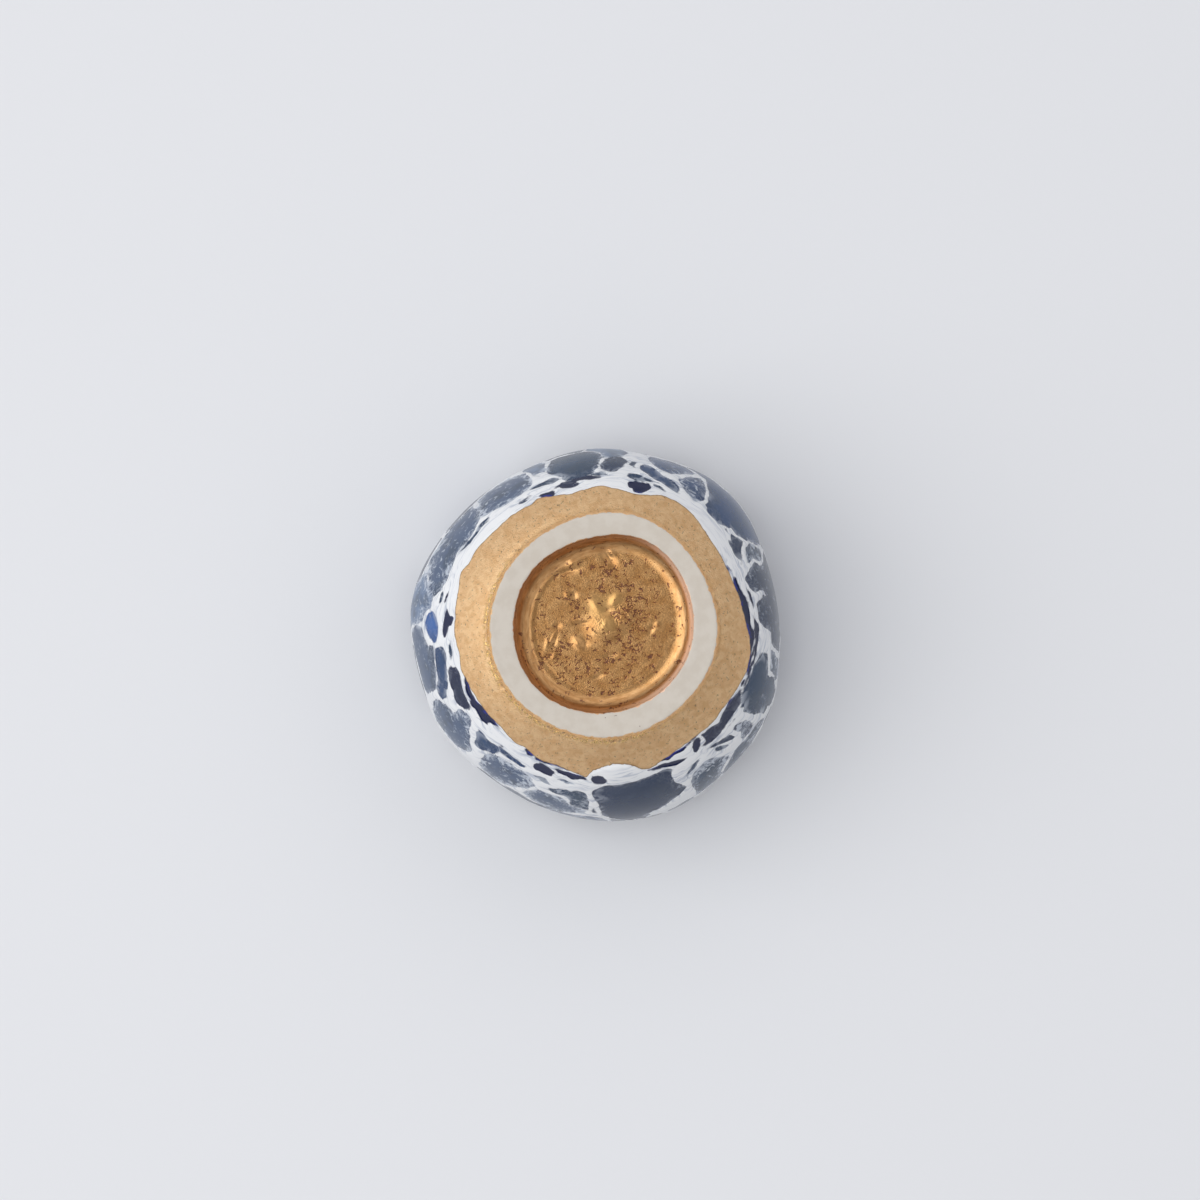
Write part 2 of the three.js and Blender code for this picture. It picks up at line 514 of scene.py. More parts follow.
# The pools on the shoulder and the upper wall, round the cup from +X. Where white veins run close together
# the pools are narrow slivers, and right under the gold they are thick ink.
POOLS = (
    pool(Tone.INK, (6, 6.1, 7.0, 1.15, -6), (-3, 7.0, 4.2, 0.6, -6)),
    pool(Tone.INK, (25.4, 5.2, 1.5, 0.6)),
    pool(Tone.PLUM, (2, 8.6, 6.4, 0.75, -2)),
    pool(Tone.SLATE, (5.2, 15.5, 2.6, 5), (17.8, 18, 2.9, 9), (12, 23.5, 8, 7.5), (1, 21, 3, 5), foam=0.25),
    pool(Tone.DUSK, (26, 16.8, 1.4, 6.2, 0, -0.1), foam=0.4),
    pool(Tone.SLATE, (31, 11.6, 1.9, 1.8, 0, 0.75)),
    pool(Tone.SLATE, (37.5, 10.2, 1.3, 0.4)),
    pool(Tone.STEEL, (45.5, 14, 3.2, 4), (43, 21, 6.5, 8.5), (55, 25, 4.5, 4.2), foam=0.1),
    pool(Tone.STEEL, (57, 14, 2.5, 4.4), foam=0.4),
    pool(Tone.STEEL, (66, 19, 3.1, 4), foam=0.3),
    pool(Tone.STEEL, (66, 10.3, 2.9, 1.1, 18), (73, 12.2, 2.2, 1.3, 25)),
    pool(Tone.DUSK, (79.2, 12.9, 0.7, 2.6, 18)),
    pool(Tone.SLATE, (85.8, 12.4, 2.2, 2.9, 0, 0.3)),
    pool(Tone.DUSK, (92.8, 12.5, 0.4, 1.5, 22)),
    pool(Tone.PLUM, (97, 8.4, 5, 0.42, 1), (103.5, 7.7, 1.7, 0.55, 20)),
    pool(Tone.DUSK, (89.5, 9.0, 2.6, 0.75)),
    pool(Tone.INK, (75.2, 6.4, 1.2, 1.4), (78.2, 6.9, 0.8, 0.9)),
    pool(Tone.DUSK, (76.5, 8.4, 3, 0.7, 4)),
    pool(Tone.DUSK, (68.5, 7.4, 1.7, 0.45, -14)),
    pool(Tone.DUSK, (99.5, 15, 3.9, 5.6, 0, -0.08)),
    pool(Tone.HAZE, (87.5, 21.5, 1.9, 6.5)),
    pool(Tone.DUSK, (110, 10.7, 3.2, 0.75, 3)),
    pool(Tone.INK, (115.6, 7.7, 1.9, 0.75, 4)),
    pool(Tone.SLATE, (120.5, 8.4, 3.2, 0.85, -4)),
    pool(Tone.INK, (128, 7.9, 1.5, 0.35)),
    pool(Tone.DUSK, (110.7, 15.3, 0.4, 0.6)),
    pool(Tone.HAZE, (110.5, 20.5, 1.1, 4)),
    pool(Tone.MIST, (125.5, 16.3, 4.9, 4.9, 0, 0.15), foam=0.7),
    pool(Tone.DUSK, (131.8, 11, 0.9, 0.4)),
    pool(Tone.DUSK, (142, 11.6, 3.7, 0.45, 3)),
    pool(Tone.MIST, (147, 17.4, 5.4, 4.7, 0, -0.1), (160, 15.4, 3.5, 3.4, -8, 0.2), foam=0.45),
    pool(Tone.DUSK, (169, 11.9, 0.85, 0.38)),
    pool(Tone.INK, (170.8, 10.5, 1.5, 0.3, 12)),
    pool(Tone.INK, (177.8, 10.2, 2.2, 0.75), (177.4, 9, 0.7, 0.7)),
    pool(Tone.HAZE, (171, 21, 3.5, 4.9), foam=0.6),
    pool(Tone.BLUE, (180, 15.4, 2.7, 2.3, 14)),
    pool(Tone.MIST, (188, 19.4, 4.7, 4.2), foam=0.25),
    pool(Tone.STEEL, (193.3, 13, 2.8, 1.5, 22), (199.3, 15, 0.9, 0.8)),
    pool(Tone.DUSK, (191, 9.1, 1.7, 0.42, 13)),
    pool(Tone.PLUM, (203, 10.1, 3.1, 1.4, 4)),
    pool(Tone.INK, (212, 7.2, 5.8, 0.6), (214.5, 8, 2.2, 0.8)),
    pool(Tone.MIST, (214.5, 15, 2.2, 3.4), (212.3, 19, 3.5, 3.4), foam=0.45),
    pool(Tone.STEEL, (223, 13, 2.8, 1.7, 0, 0.3), (233, 11.5, 3, 0.35, 2)),
    pool(Tone.INK, (228.8, 10.5, 0.85, 0.28)),
    pool(Tone.MIST, (236.8, 18, 4.2, 4.4, 0, 0.1), foam=0.8),
    pool(Tone.INK, (239, 7.8, 1.6, 0.95)),
    pool(Tone.INK, (249, 8.1, 4.2, 0.3)),
    pool(Tone.INK, (247.8, 10.2, 1.35, 1.15, -10)),
    pool(Tone.INK, (256, 9.6, 2.8, 0.58, 5)),
    pool(Tone.DUSK, (246.5, 12.9, 1.8, 0.6, 20)),
    pool(Tone.DUSK, (262.3, 16.2, 1.5, 2.2), (257.6, 14.9, 1.5, 0.45), foam=0.3),
    pool(Tone.DUSK, (267.4, 18.8, 0.65, 1.8, -12)),
    pool(Tone.MIST, (251.5, 21.5, 5.2, 3.7), foam=0.75),
    pool(Tone.HAZE, (256.5, 11.6, 1.2, 0.25)),
    pool(Tone.INK, (267.6, 9.1, 1.15, 1.15)),
    pool(Tone.SLATE, (282.5, 15.2, 6.9, 4.7, 0, 0.12), (281.5, 19.5, 4.8, 4.4, 0, 0.35), (279, 23, 1.9, 3)),
    pool(Tone.SLATE, (296.6, 13.6, 0.9, 1.3)),
    pool(Tone.HAZE, (286.2, 24.2, 0.9, 1.6)),
    pool(Tone.INK, (296, 9.5, 3.1, 0.65, 8)),
    pool(Tone.INK, (300, 7.4, 4, 0.45, -2)),
    pool(Tone.INK, (309, 8.9, 0.9, 0.8)),
    pool(Tone.PLUM, (315.2, 9.2, 1.9, 1.2), (323, 9.1, 4.4, 1.15, -7)),
    pool(Tone.DUSK, (326, 11.5, 1.3, 0.4)),
    pool(Tone.DUSK, (302.8, 13.7, 2.0, 0.35, -38)),
    pool(Tone.SLATE, (319, 13.4, 3, 0.55, 30)),
    pool(Tone.DUSK, (315.8, 14.3, 1.3, 0.6, 28)),
    pool(Tone.SLATE, (326.8, 15, 1.2, 1.9, -10), foam=0.6),
    pool(Tone.DUSK, (307.5, 21, 3, 5.5), foam=0.7),
    pool(Tone.DUSK, (321, 25, 4.5, 4.4), foam=0.4),
    pool(Tone.DUSK, (339.8, 12.6, 5.2, 3.1), (341.3, 17.5, 1.6, 3.6), (333.6, 16.2, 1.3, 1.9)),
    pool(Tone.DUSK, (349.7, 19.2, 1.8, 2.6), foam=0.6),
    pool(Tone.INK, (350, 8.1, 4.4, 0.33, -8)),
    pool(Tone.INK, (338.3, 8.1, 0.6, 0.28)),
)

# The gold's lower edge, as angle and depth down the wall. It rises and sags as the brush left it, and two
# tongues of glaze climb into it.
GOLD_EDGE = (
    (0, 6.2), (6, 5.7), (12, 5.4), (20, 5.1), (30, 5.2), (42, 5.3), (48, 5.9), (55, 6.5), (60, 6.5),
    (66, 6), (70, 5), (74, 4.3), (79, 4), (84, 4.8), (91, 5.6), (98, 5.4), (103, 5), (109, 5.9),
    (117, 7.4), (121, 6.9), (130, 7.6), (138, 7.3), (150, 8.3), (155, 8), (159, 9), (166, 7.9),
    (174, 7.6), (184, 7.5), (191, 6.9), (196, 7.3), (205, 6.7), (224, 6.5), (234, 7.4), (237, 6.9),
    (243, 8), (252, 7.8), (259, 8.4), (263.5, 8.9), (265.5, 7.2), (270, 5.8), (275, 5.4), (280, 5.8),
    (283, 6.6), (285, 7.7), (288, 8.3), (293, 7.6), (300, 7), (309, 6.8), (316, 7.3), (325, 7),
    (333, 7.4), (342, 7.8), (350, 7.9), (356, 7),
)


@dataclass
class MarbledGlaze:
    """Where the cobalt pools, the white veins and the foam lie on the outside of the wall, in mm.

    The offsets read the noise at places far apart, so that the fields made from it don't look alike.
    """

    vein: float = 0.62
    vein_change: float = 0.8
    vein_change_size: float = 3.5
    spread: float = 0.35
    deep_spread: float = 1.6
    sliver_spread: float = 0.14
    sliver: float = 1.0
    lower_spread: float = 2.6
    warp_sizes: tuple[float, ...] = (4.2, 1.8, 0.8)
    warp_reach: tuple[float, ...] = (0.7, 0.42, 0.18)
    lower_rows: tuple[float, ...] = (29.5, 37.0, 44.5, 51.0)
    lower_columns: int = 14
    lower_stray: Point = (0.35, 2.2)
    lower_half_width: Point = (3.6, 7.6)
    lower_half_height: Point = (2.4, 5.0)
    lower_tilt: float = 30.0
    lower_taper: float = 0.3
    lower_foam: float = 0.7
    lower_warp: float = 1.8
    lower_warp_from: Point = (14.0, 28.0)
    deep_from: Point = (12.0, 20.0)
    warp_offsets: Point = (0.0, 40.0)
    vein_offset: float = 80.0
    inside_fade: float = 5.0
    thin_white: float = -3.0
    thickest: float = 3.0
    no_pool: float = -50.0
    seed: int = 11

    def lower_pools(self) -> list[Pool]:
        """Scatters pools over the lower wall.

        Returns:
            Rows of single ovals with seeded places, sizes, tilts, tapers, foam and tones. Every second row is
            set off by half a column, and about half of the pools have no foam.
        """
        draw = np.random.default_rng(self.seed)
        tones = (Tone.DUSK, Tone.SLATE, Tone.STEEL, Tone.DUSK, Tone.HAZE, Tone.SLATE)
        aside, down = self.lower_stray
        found = []
        for row, depth in enumerate(self.lower_rows):
            for column in range(self.lower_columns):
                place = column + 0.5 * (row % 2) + draw.uniform(-aside, aside)
                oval = Lobe(
                    place * 360 / self.lower_columns,
                    depth + draw.uniform(-down, down),
                    draw.uniform(*self.lower_half_width),
                    draw.uniform(*self.lower_half_height),
                    draw.uniform(-self.lower_tilt, self.lower_tilt),
                    draw.uniform(-self.lower_taper, self.lower_taper),
                )
                foam = max(0.0, draw.uniform(-self.lower_foam, self.lower_foam))
                found.append(Pool(tones[draw.integers(len(tones))], (oval,), foam))
        return found

    def lay(self, skin: Skin) -> dict[str, np.ndarray]:
        """Works out the glaze's fields at every vertex.

        Args:
            skin: the cup's skin.

        Returns:
            "pool", mm inside a pool and below nought in the white; "tint", the pool's linear colour; "foam",
            how much foam floats on it; "milky", how much white has clouded it. A point belongs to the pool
            with the largest field. Its own field is then the smaller of that and half its lead over the next
            pool, less half a vein.
        """
        noise = Noise(self.seed)
        wander = self.lower_warp * smooth(skin.depth, *self.lower_warp_from)
        shift = []
        for offset in self.warp_offsets:
            waves = [noise.at(skin.places + offset, size) for size in self.warp_sizes]
            shift.append(sum(reach * wave for reach, wave in zip(self.warp_reach, waves)))
            shift[-1] += wander * self.warp_reach[0] * waves[0]
        radius = np.maximum(skin.radius, 1)
        direction = skin.direction + shift[0] / radius
        depth = skin.depth + shift[1]
        count = len(depth)
        best, second = np.full(count, self.no_pool), np.full(count, self.no_pool)
        tint, foam, milky = np.zeros((count, 4)), np.zeros(count), np.zeros(count)
        spreads = [self.spread if item.half_size() > self.sliver else self.sliver_spread for item in POOLS]
        lower = [(item, self.lower_spread) for item in self.lower_pools()]
        for item, spread in [*zip(POOLS, spreads), *lower]:
            value = np.max([lobe.field(direction, radius, depth) for lobe in item.lobes], axis=0) + spread
            if spread > self.sliver_spread:
                value += max(self.deep_spread - spread, 0.0) * smooth(depth, *self.deep_from)
            leads = value > best
            second = np.where(leads, best, np.maximum(second, value))
            best = np.where(leads, value, best)
            tint[leads] = linear(item.tone.colour)
            foam[leads] = item.foam
            milky[leads] = item.tone.milkiness
        change = noise.at(skin.places + self.vein_offset, self.vein_change_size)
        vein = self.vein * (1 + self.vein_change * 2 * change)
        inside = np.minimum(best, (best - second) / 2 - vein / 2)
        past_lip = smooth(skin.depth, skin.ends["lip flat"], skin.ends["lip flat"] + self.inside_fade)
        inside = inside + (self.thin_white - inside) * past_lip
        inside = np.clip(inside, self.thin_white, self.thickest)
        return {"pool": inside, "tint": tint, "foam": foam, "milky": milky}


@dataclass(frozen=True)
class Dent:
    """A hollow or bump in the recess: its middle from the foot's, half sizes, turn and height, in mm."""

    x: float
    y: float
    half_length: float
    half_width: float
    turn: float
    height: float


DENTS = (
    Dent(0.9, 11.7, 1.5, 0.6, -55, -0.35),
    Dent(1.3, 12.5, 0.7, 0.35, -40, 0.2),
    Dent(-6.5, 9.2, 2.0, 0.4, 12, -0.3),
    Dent(-5.4, 10.7, 0.8, 0.6, 0, 0.3),
    Dent(-1.5, 3.6, 1.1, 0.7, -40, 0.17),
    Dent(1.9, 4.3, 1.0, 0.6, 50, 0.18),
    Dent(3.2, 1.0, 1.2, 0.9, -60, 0.16),
    Dent(0.6, 2.4, 0.8, 0.5, 10, -0.14),
    Dent(0.4, 0.2, 0.9, 0.6, 80, 0.12),
    Dent(-1.9, -1.1, 0.8, 0.2, -45, 0.12),
    Dent(-0.6, -1.85, 0.9, 0.2, -10, 0.13),
    Dent(0.9, -1.7, 0.9, 0.2, 14, 0.13),
    Dent(2.4, -1.45, 0.9, 0.2, 2, 0.11),
    Dent(-3.8, 0.25, 1.2, 0.4, 4, -0.2),
    Dent(-3.6, 0.9, 1.9, 0.4, 2, 0.1),
    Dent(-4.5, -3.1, 0.9, 0.6, -50, 0.34),
    Dent(-3.3, -3.4, 0.6, 0.5, 0, -0.14),
    Dent(-8.0, -0.2, 0.45, 0.4, 0, -0.18),
    Dent(-5.1, 5.1, 0.4, 0.5, 0, -0.16),
    Dent(-6.4, 5.2, 0.3, 0.5, 10, 0.1),
    Dent(8.2, -0.9, 0.6, 0.35, 60, -0.16),
    Dent(9.3, 0.1, 0.35, 0.35, 0, 0.14),
    Dent(-0.9, -8.9, 0.9, 0.3, 18, -0.14),
    Dent(1.2, -5.3, 1.0, 0.3, 12, -0.16),
    Dent(-9.8, -3.0, 0.9, 0.2, 75, 0.14),
    Dent(-9.1, -2.7, 1.0, 0.2, 65, 0.14),
    Dent(-8.4, -2.9, 0.8, 0.2, 70, -0.14),
    Dent(-8.6, -5.4, 0.5, 0.3, 60, 0.12),
)


@dataclass(frozen=True)
class Patch:
    """A round patch of the recess's floor: its middle from the foot's middle, its spread and its strength."""

    x: float
    y: float
    spread: float
    strength: float


SCRIBBLED = (
    Patch(4.5, 3.0, 3.6, 1.0),
    Patch(1.0, 7.5, 3.0, 0.85),
    Patch(5.0, -3.5, 3.0, 0.8),
    Patch(0.5, -4.5, 3.2, 0.75),
    Patch(-8.0, -4.5, 2.6, 0.8),
    Patch(-5.5, -8.5, 3.2, 0.6),
    Patch(-4.5, 4.0, 2.6, 0.55),
    Patch(0.0, -10.5, 2.6, 0.5),
)
KNOBBLED = (Patch(3.4, 1.6, 1.5, 1.0), Patch(-1.0, 0.4, 1.2, 0.4))
SMOOTH = (Patch(-0.8, 3.0, 1.9, 1.0), Patch(1.6, 4.4, 1.3, 1.0), Patch(0.5, 0.2, 1.5, 0.9))


def patches_at(patches: tuple[Patch, ...], spots: np.ndarray) -> np.ndarray:
    """Gives the strongest patch at each place, each being strength * exp(-(distance / spread) squared)."""
    ways = [np.abs(spots - complex(patch.x, patch.y)) / patch.spread for patch in patches]
    return np.max([patch.strength * np.exp(-(way**2)) for patch, way in zip(patches, ways)], axis=0)


@dataclass
class FootRecess:
    """The relief inside the foot ring: dents and mounds, a rim round the floor and turning lines below."""

    rim_height: float = 0.1
    rim_half: float = 0.3
    turning_radii: tuple[float, ...] = (10.4, 11.0, 11.6)
    turning_half: float = 0.2
    turning_height: float = 0.03
    turning_toward: float = 262.0

    def dents(self, spots: np.ndarray) -> np.ndarray:
        """Adds up the dents.

        Args:
            spots: complex places from the foot's middle.

        Returns:
            The sum of height * exp(-(along / half length)^2 - (across / half width)^2).
        """
        total = np.zeros(len(spots))
        for dent in DENTS:
            along, across = along_and_across(spots - complex(dent.x, dent.y), dent.turn)
            away = (along / dent.half_length) ** 2 + (across / dent.half_width) ** 2
            total += dent.height * np.exp(-away)
        return total

    def relief(self, skin: Skin, spots: np.ndarray) -> np.ndarray:
        """Gives the height of all of the recess's relief at each vertex, in mm.

        Args:
            skin: the cup's skin.
            spots: complex places from the foot's middle.

        Returns:
            The sum of dents, turning lines below and the rim where the floor meets the cove on the -X side,
            faded out up the cove.
        """
        floor = 1 - smooth(skin.depth, skin.ends["recess floor"] + 0.2, skin.ends["cove"] - 0.5)
        facing = smooth(np.cos(np.angle(spots) - math.radians(self.turning_toward)), 0.1, 0.9)
        ways = [(np.abs(spots) - ring) / self.turning_half for ring in self.turning_radii]
        lines = sum(np.exp(-(way**2)) for way in ways)
        rim = np.exp(-(((skin.depth - skin.ends["recess floor"]) / self.rim_half) ** 2))
        rim = rim * smooth(-np.cos(np.angle(spots)), -0.1, 0.8)
        return (self.dents(spots) + self.turning_height * lines * facing + self.rim_height * rim) * floor


@dataclass
class Relief:
    """How thick each skin of glaze and lustre lies, in mm, and how uneven the hand left the wall."""

    white: float = 0.14
    drip_angle: float = 275.0
    drip_depth: float = 7.8
    drip_half: Point = (4.6, 2.6)
    drip_height: float = 0.55
    gold: float = 0.07
    unevenness: float = 0.12
    unevenness_size: float = 11.0
    ring_unevenness: float = 0.05
    ring_unevenness_size: float = 1.7
    bead: float = 0.14
    bead_size: float = 0.8
    bead_row: float = 0.7

    def height(self, skin: Skin, fields: dict[str, np.ndarray], noise: Noise) -> np.ndarray:
        """Gives the height that the skins add on the outside of the wall and the ring.

        Args:
            skin: the cup's skin.
            fields: the glaze's and the lustre's fields.
            noise: the noise that the unevenness is taken from.

        Returns:
            White stands proud of the pools, the drip is a soft oval mound, the gold is an even skin with a
            rounded edge, and the clay is slightly uneven. It fades out past the lip.
        """
        turn = np.angle(np.exp(1j * (skin.direction - math.radians(self.drip_angle))))
        round_drip = turn * skin.radius / self.drip_half[0]
        down_drip = (skin.depth - self.drip_depth) / self.drip_half[1]
        drip = self.drip_height * np.exp(-(round_drip**2 + down_drip**2))
        gilded = smooth(fields["gold"], -0.15, 0.05)
        glaze = self.white * smooth(-fields["pool"], -0.25, 0.45) + drip * (1 - gilded)
        wall = smooth(skin.depth, 0, 1.5) * (1 - smooth(skin.depth, skin.ends["lip"] - 3, skin.ends["lip"]))
        ring = 1 - smooth(np.abs(fields["clay"]), 0.2, 1.2)
        neck = np.exp(-((skin.depth / self.bead_row) ** 2))
        uneven = self.unevenness * noise.at(skin.places, self.unevenness_size) * wall
        uneven += self.ring_unevenness * noise.at(skin.places, self.ring_unevenness_size) * ring
        uneven += self.bead * noise.at(skin.places, self.bead_size) * neck
        return wall * (glaze * (1 - gilded) + self.gold * gilded) + uneven


Feed = Any
Inputs = dict[Any, Feed]

# Settings that many nodes share. A range rises smoothly, and a mix of colours uses sockets 6 and 7.
SMOOTHLY = {"interpolation_type": "SMOOTHSTEP"}
COLOURS = {"data_type": "RGBA"}
PLUS = {"operation": "ADD"}
MINUS = {"operation": "SUBTRACT"}
TIMES = {"operation": "MULTIPLY"}
TIMES_PLUS = {"operation": "MULTIPLY_ADD"}
LARGER = {"operation": "MAXIMUM"}
UNSIGNED = {"operation": "ABSOLUTE"}


def add(tree: bpy.types.NodeTree, kind: str, inputs: Inputs | None = None, **settings: Any) -> bpy.types.Node:
    """Adds one node with its settings and its inputs.

    Args:
        tree: the node tree that it joins.
        kind: the node's type, without the leading "ShaderNode".
        inputs: for each socket's name or number, a value, or a socket or node that feeds it. A node feeds it
            from the first of its outputs that is in use.
        settings: the node's own properties.

    Returns:
        The new node.
    """
    node = tree.nodes.new("ShaderNode" + kind)
    for name, value in settings.items():
        setattr(node, name, value)
    for key, value in (inputs or {}).items():
        if isinstance(value, bpy.types.Node):
            value = next(output for output in value.outputs if output.enabled)
        if isinstance(value, bpy.types.NodeSocket):
            tree.links.new(value, node.inputs[key])
        else:
            node.inputs[key].default_value = value
    return node


@dataclass(frozen=True)
class Grain:
    """A noise of real size: how wide one speck is in mm, how many finer octaves it has, and how it swirls."""

    size: float
    octaves: float = 2.0
    swirl: float = 0.0
    octave_share: float = 0.6

    def over(self, coordinates: Feed, one_mm: float = METRES) -> Inputs:
        """Gives a noise node's inputs.

        Args:
            coordinates: what the noise lies over.
            one_mm: how long one mm is in those coordinates.

        Returns:
            The inputs, with the scale 1 / (size * one_mm).
        """
        return {
            "Vector": coordinates,
            "Scale": 1 / (self.size * one_mm),
            "Detail": self.octaves,
            "Roughness": self.octave_share,
            "Distortion": self.swirl,
        }


@dataclass(frozen=True)
class Layer:
    """What a finish gives the shader: its colour, its roughness and its height in metres."""

    colour: Feed
    roughness: Feed
    height: Feed


class Maps:
    """The piece's own coordinates and the attributes of its mesh, read once for every finish."""

    def __init__(self, tree: bpy.types.NodeTree) -> None:
        """Adds the node of the object coordinates and one for each attribute."""
        self.tree = tree
        self.place = add(tree, "TexCoord").outputs["Object"]
        self.flow = add(tree, "Attribute", attribute_name="flow").outputs["Vector"]
        self.tint = add(tree, "Attribute", attribute_name="tint").outputs["Color"]
        self.pool = add(tree, "Attribute", attribute_name="pool").outputs["Fac"]
        self.foam = add(tree, "Attribute", attribute_name="foam").outputs["Fac"]
        self.milky = add(tree, "Attribute", attribute_name="milky").outputs["Fac"]
        self.gold = add(tree, "Attribute", attribute_name="gold").outputs["Fac"]
        self.neck = add(tree, "Attribute", attribute_name="neck").outputs["Fac"]
        self.clay = add(tree, "Attribute", attribute_name="clay").outputs["Fac"]
        self.hollow = add(tree, "Attribute", attribute_name="hollow").outputs["Fac"]
        self.wall = add(tree, "Attribute", attribute_name="wall").outputs["Fac"]
        self.lustre = add(tree, "Attribute", attribute_name="lustre").outputs["Fac"]
        self.painted_shade_side = add(tree, "Attribute", attribute_name="painted_shade_side").outputs["Fac"]
        self.pooled = add(tree, "Attribute", attribute_name="pooled").outputs["Fac"]
        self.scribbled = add(tree, "Attribute", attribute_name="scribbled").outputs["Fac"]
        self.knobbled = add(tree, "Attribute", attribute_name="knobbled").outputs["Fac"]


@dataclass(frozen=True)
class MarbledGlazeFinish:
    """Cobalt and white glazes that ran together in the fire, over porcelain.

    The white is opaque, smooth and slightly bluish where it is thin. The pools are satin and slate-blue, with
    milky foam and specks, and the thick ink at the gold's edge is glossy. Glazes are glass, so all of it is
    without metal and keeps glass's usual IOR of about 1.5.
    """

    white: str = "EEF0F2"
    shade: str = "8C9AB4"
    milk: str = "C8D0DC"
    earth: str = "324050"
    cobalt: str = "0A1C86"
    white_roughness: float = 0.36
    pool_roughness: float = 0.3
    ink_roughness: float = 0.12
    streaks: Grain = Grain(0.9, 4.0, 0.4)
    thinning: Grain = Grain(0.62, 4.0, 0.7)
    fray: Grain = Grain(0.7, 3.0)
    softening: Grain = Grain(2.4)
    clouds: Grain = Grain(2.6, 3.0, 0.8)
    wisps: Grain = Grain(1.5, 5.0, 1.2)
    threads: Grain = Grain(1.7, 2.0, 1.5)
    patches: Grain = Grain(3.5, 4.0)
    earths: Grain = Grain(4.2)
    frayed_by: float = 0.1
    streaked_by: float = 0.12
    crisp_edge: Point = (-0.08, 0.08)
    soft_edge: Point = (-0.28, 0.2)
    foam_reach: float = 2.4
    foam_push: float = 0.2
    foam_cover: float = 0.85
    lace_cover: float = 0.6
    lace_least: float = 0.2
    halo_width: float = 1.1
    halo_cover: float = 0.75
    rim_width: Point = (0.1, 1.3)
    rim_darkening: float = 0.3
    streak_height: float = 0.008

    def inside(self, maps: Maps, streaks: bpy.types.Node) -> bpy.types.Node:
        """Tells pool from white: the pool's field, frayed by noise, crosses nought at a crisp or soft edge.

        Args:
            maps: the fields and coordinates.
            streaks: the noise that follows the flow.

        Returns:
            The node that gives 1 in a pool and 0 in the white.
        """
        put = partial(add, maps.tree)
        fray = put("TexNoise", self.fray.over(maps.place))
        field = put("Math", {0: fray, 1: 2 * self.frayed_by, 2: maps.pool}, **TIMES_PLUS)
        field = put("Math", {0: streaks, 1: 2 * self.streaked_by, 2: field}, **TIMES_PLUS)
        middle = self.frayed_by + self.streaked_by
        low, high = self.crisp_edge
        crisp = put("MapRange", {0: field, 1: middle + low, 2: middle + high}, **SMOOTHLY)
        low, high = self.soft_edge
        soft = put("MapRange", {0: field, 1: middle + low, 2: middle + high}, **SMOOTHLY)
        softening = put("TexNoise", self.softening.over(maps.place))
        softness = put("MapRange", {0: softening, 1: 0.54, 2: 0.66}, **SMOOTHLY)
        return put("Mix", {0: softness, 2: crisp, 3: soft})

    def milky_cover(self, maps: Maps, clouds: bpy.types.Node) -> bpy.types.Node:
        """Clouds the pools: wisps of foam from the edge inwards, fine lace and a halo on parts of the edge.

        Args:
            maps: the fields and coordinates.
            clouds: the broad noise that breaks the halo up.

        Returns:
            The node that gives how much milk covers the pool.
        """
        put = partial(add, maps.tree)
        wisps = put("TexNoise", self.wisps.over(maps.place))
        reach = put("MapRange", {0: maps.pool, 1: self.foam_reach, 2: 0.0, 4: maps.foam}, **SMOOTHLY)
        froth = put("Math", {0: reach, 1: self.foam_push, 2: wisps}, **TIMES_PLUS)
        foamy = put("MapRange", {0: maps.foam, 1: 0.0, 2: 0.5, 4: self.foam_cover}, **SMOOTHLY)
        foam = put("MapRange", {0: froth, 1: 0.56, 2: 0.7, 4: foamy}, **SMOOTHLY)
        lacy = put("Math", {0: maps.foam, 1: self.lace_least}, **PLUS)
        lacy = put("Math", {0: lacy, 1: maps.milky}, **TIMES)
        lacy = put("MapRange", {0: maps.pool, 1: self.foam_reach, 2: 0.1, 4: lacy}, **SMOOTHLY)
        lacy = put("Math", {0: lacy, 1: self.lace_cover}, **TIMES)
        thread = put("Math", {0: put("TexNoise", self.threads.over(maps.place)), 1: 0.5}, **MINUS)
        thread = put("Math", {0: thread}, **UNSIGNED)
        lace = put("MapRange", {0: thread, 1: 0.045, 2: 0.012, 4: lacy}, **SMOOTHLY)
        halo = put("MapRange", {0: maps.pool, 1: self.halo_width, 2: 0.0, 4: self.halo_cover}, **SMOOTHLY)
        halo = put("Math", {0: halo, 1: maps.milky}, **TIMES)
        halo = put("MapRange", {0: clouds, 1: 0.48, 2: 0.6, 4: halo}, **SMOOTHLY)
        return put("Math", {0: put("Math", {0: foam, 1: lace}, **LARGER), 1: halo}, **LARGER)

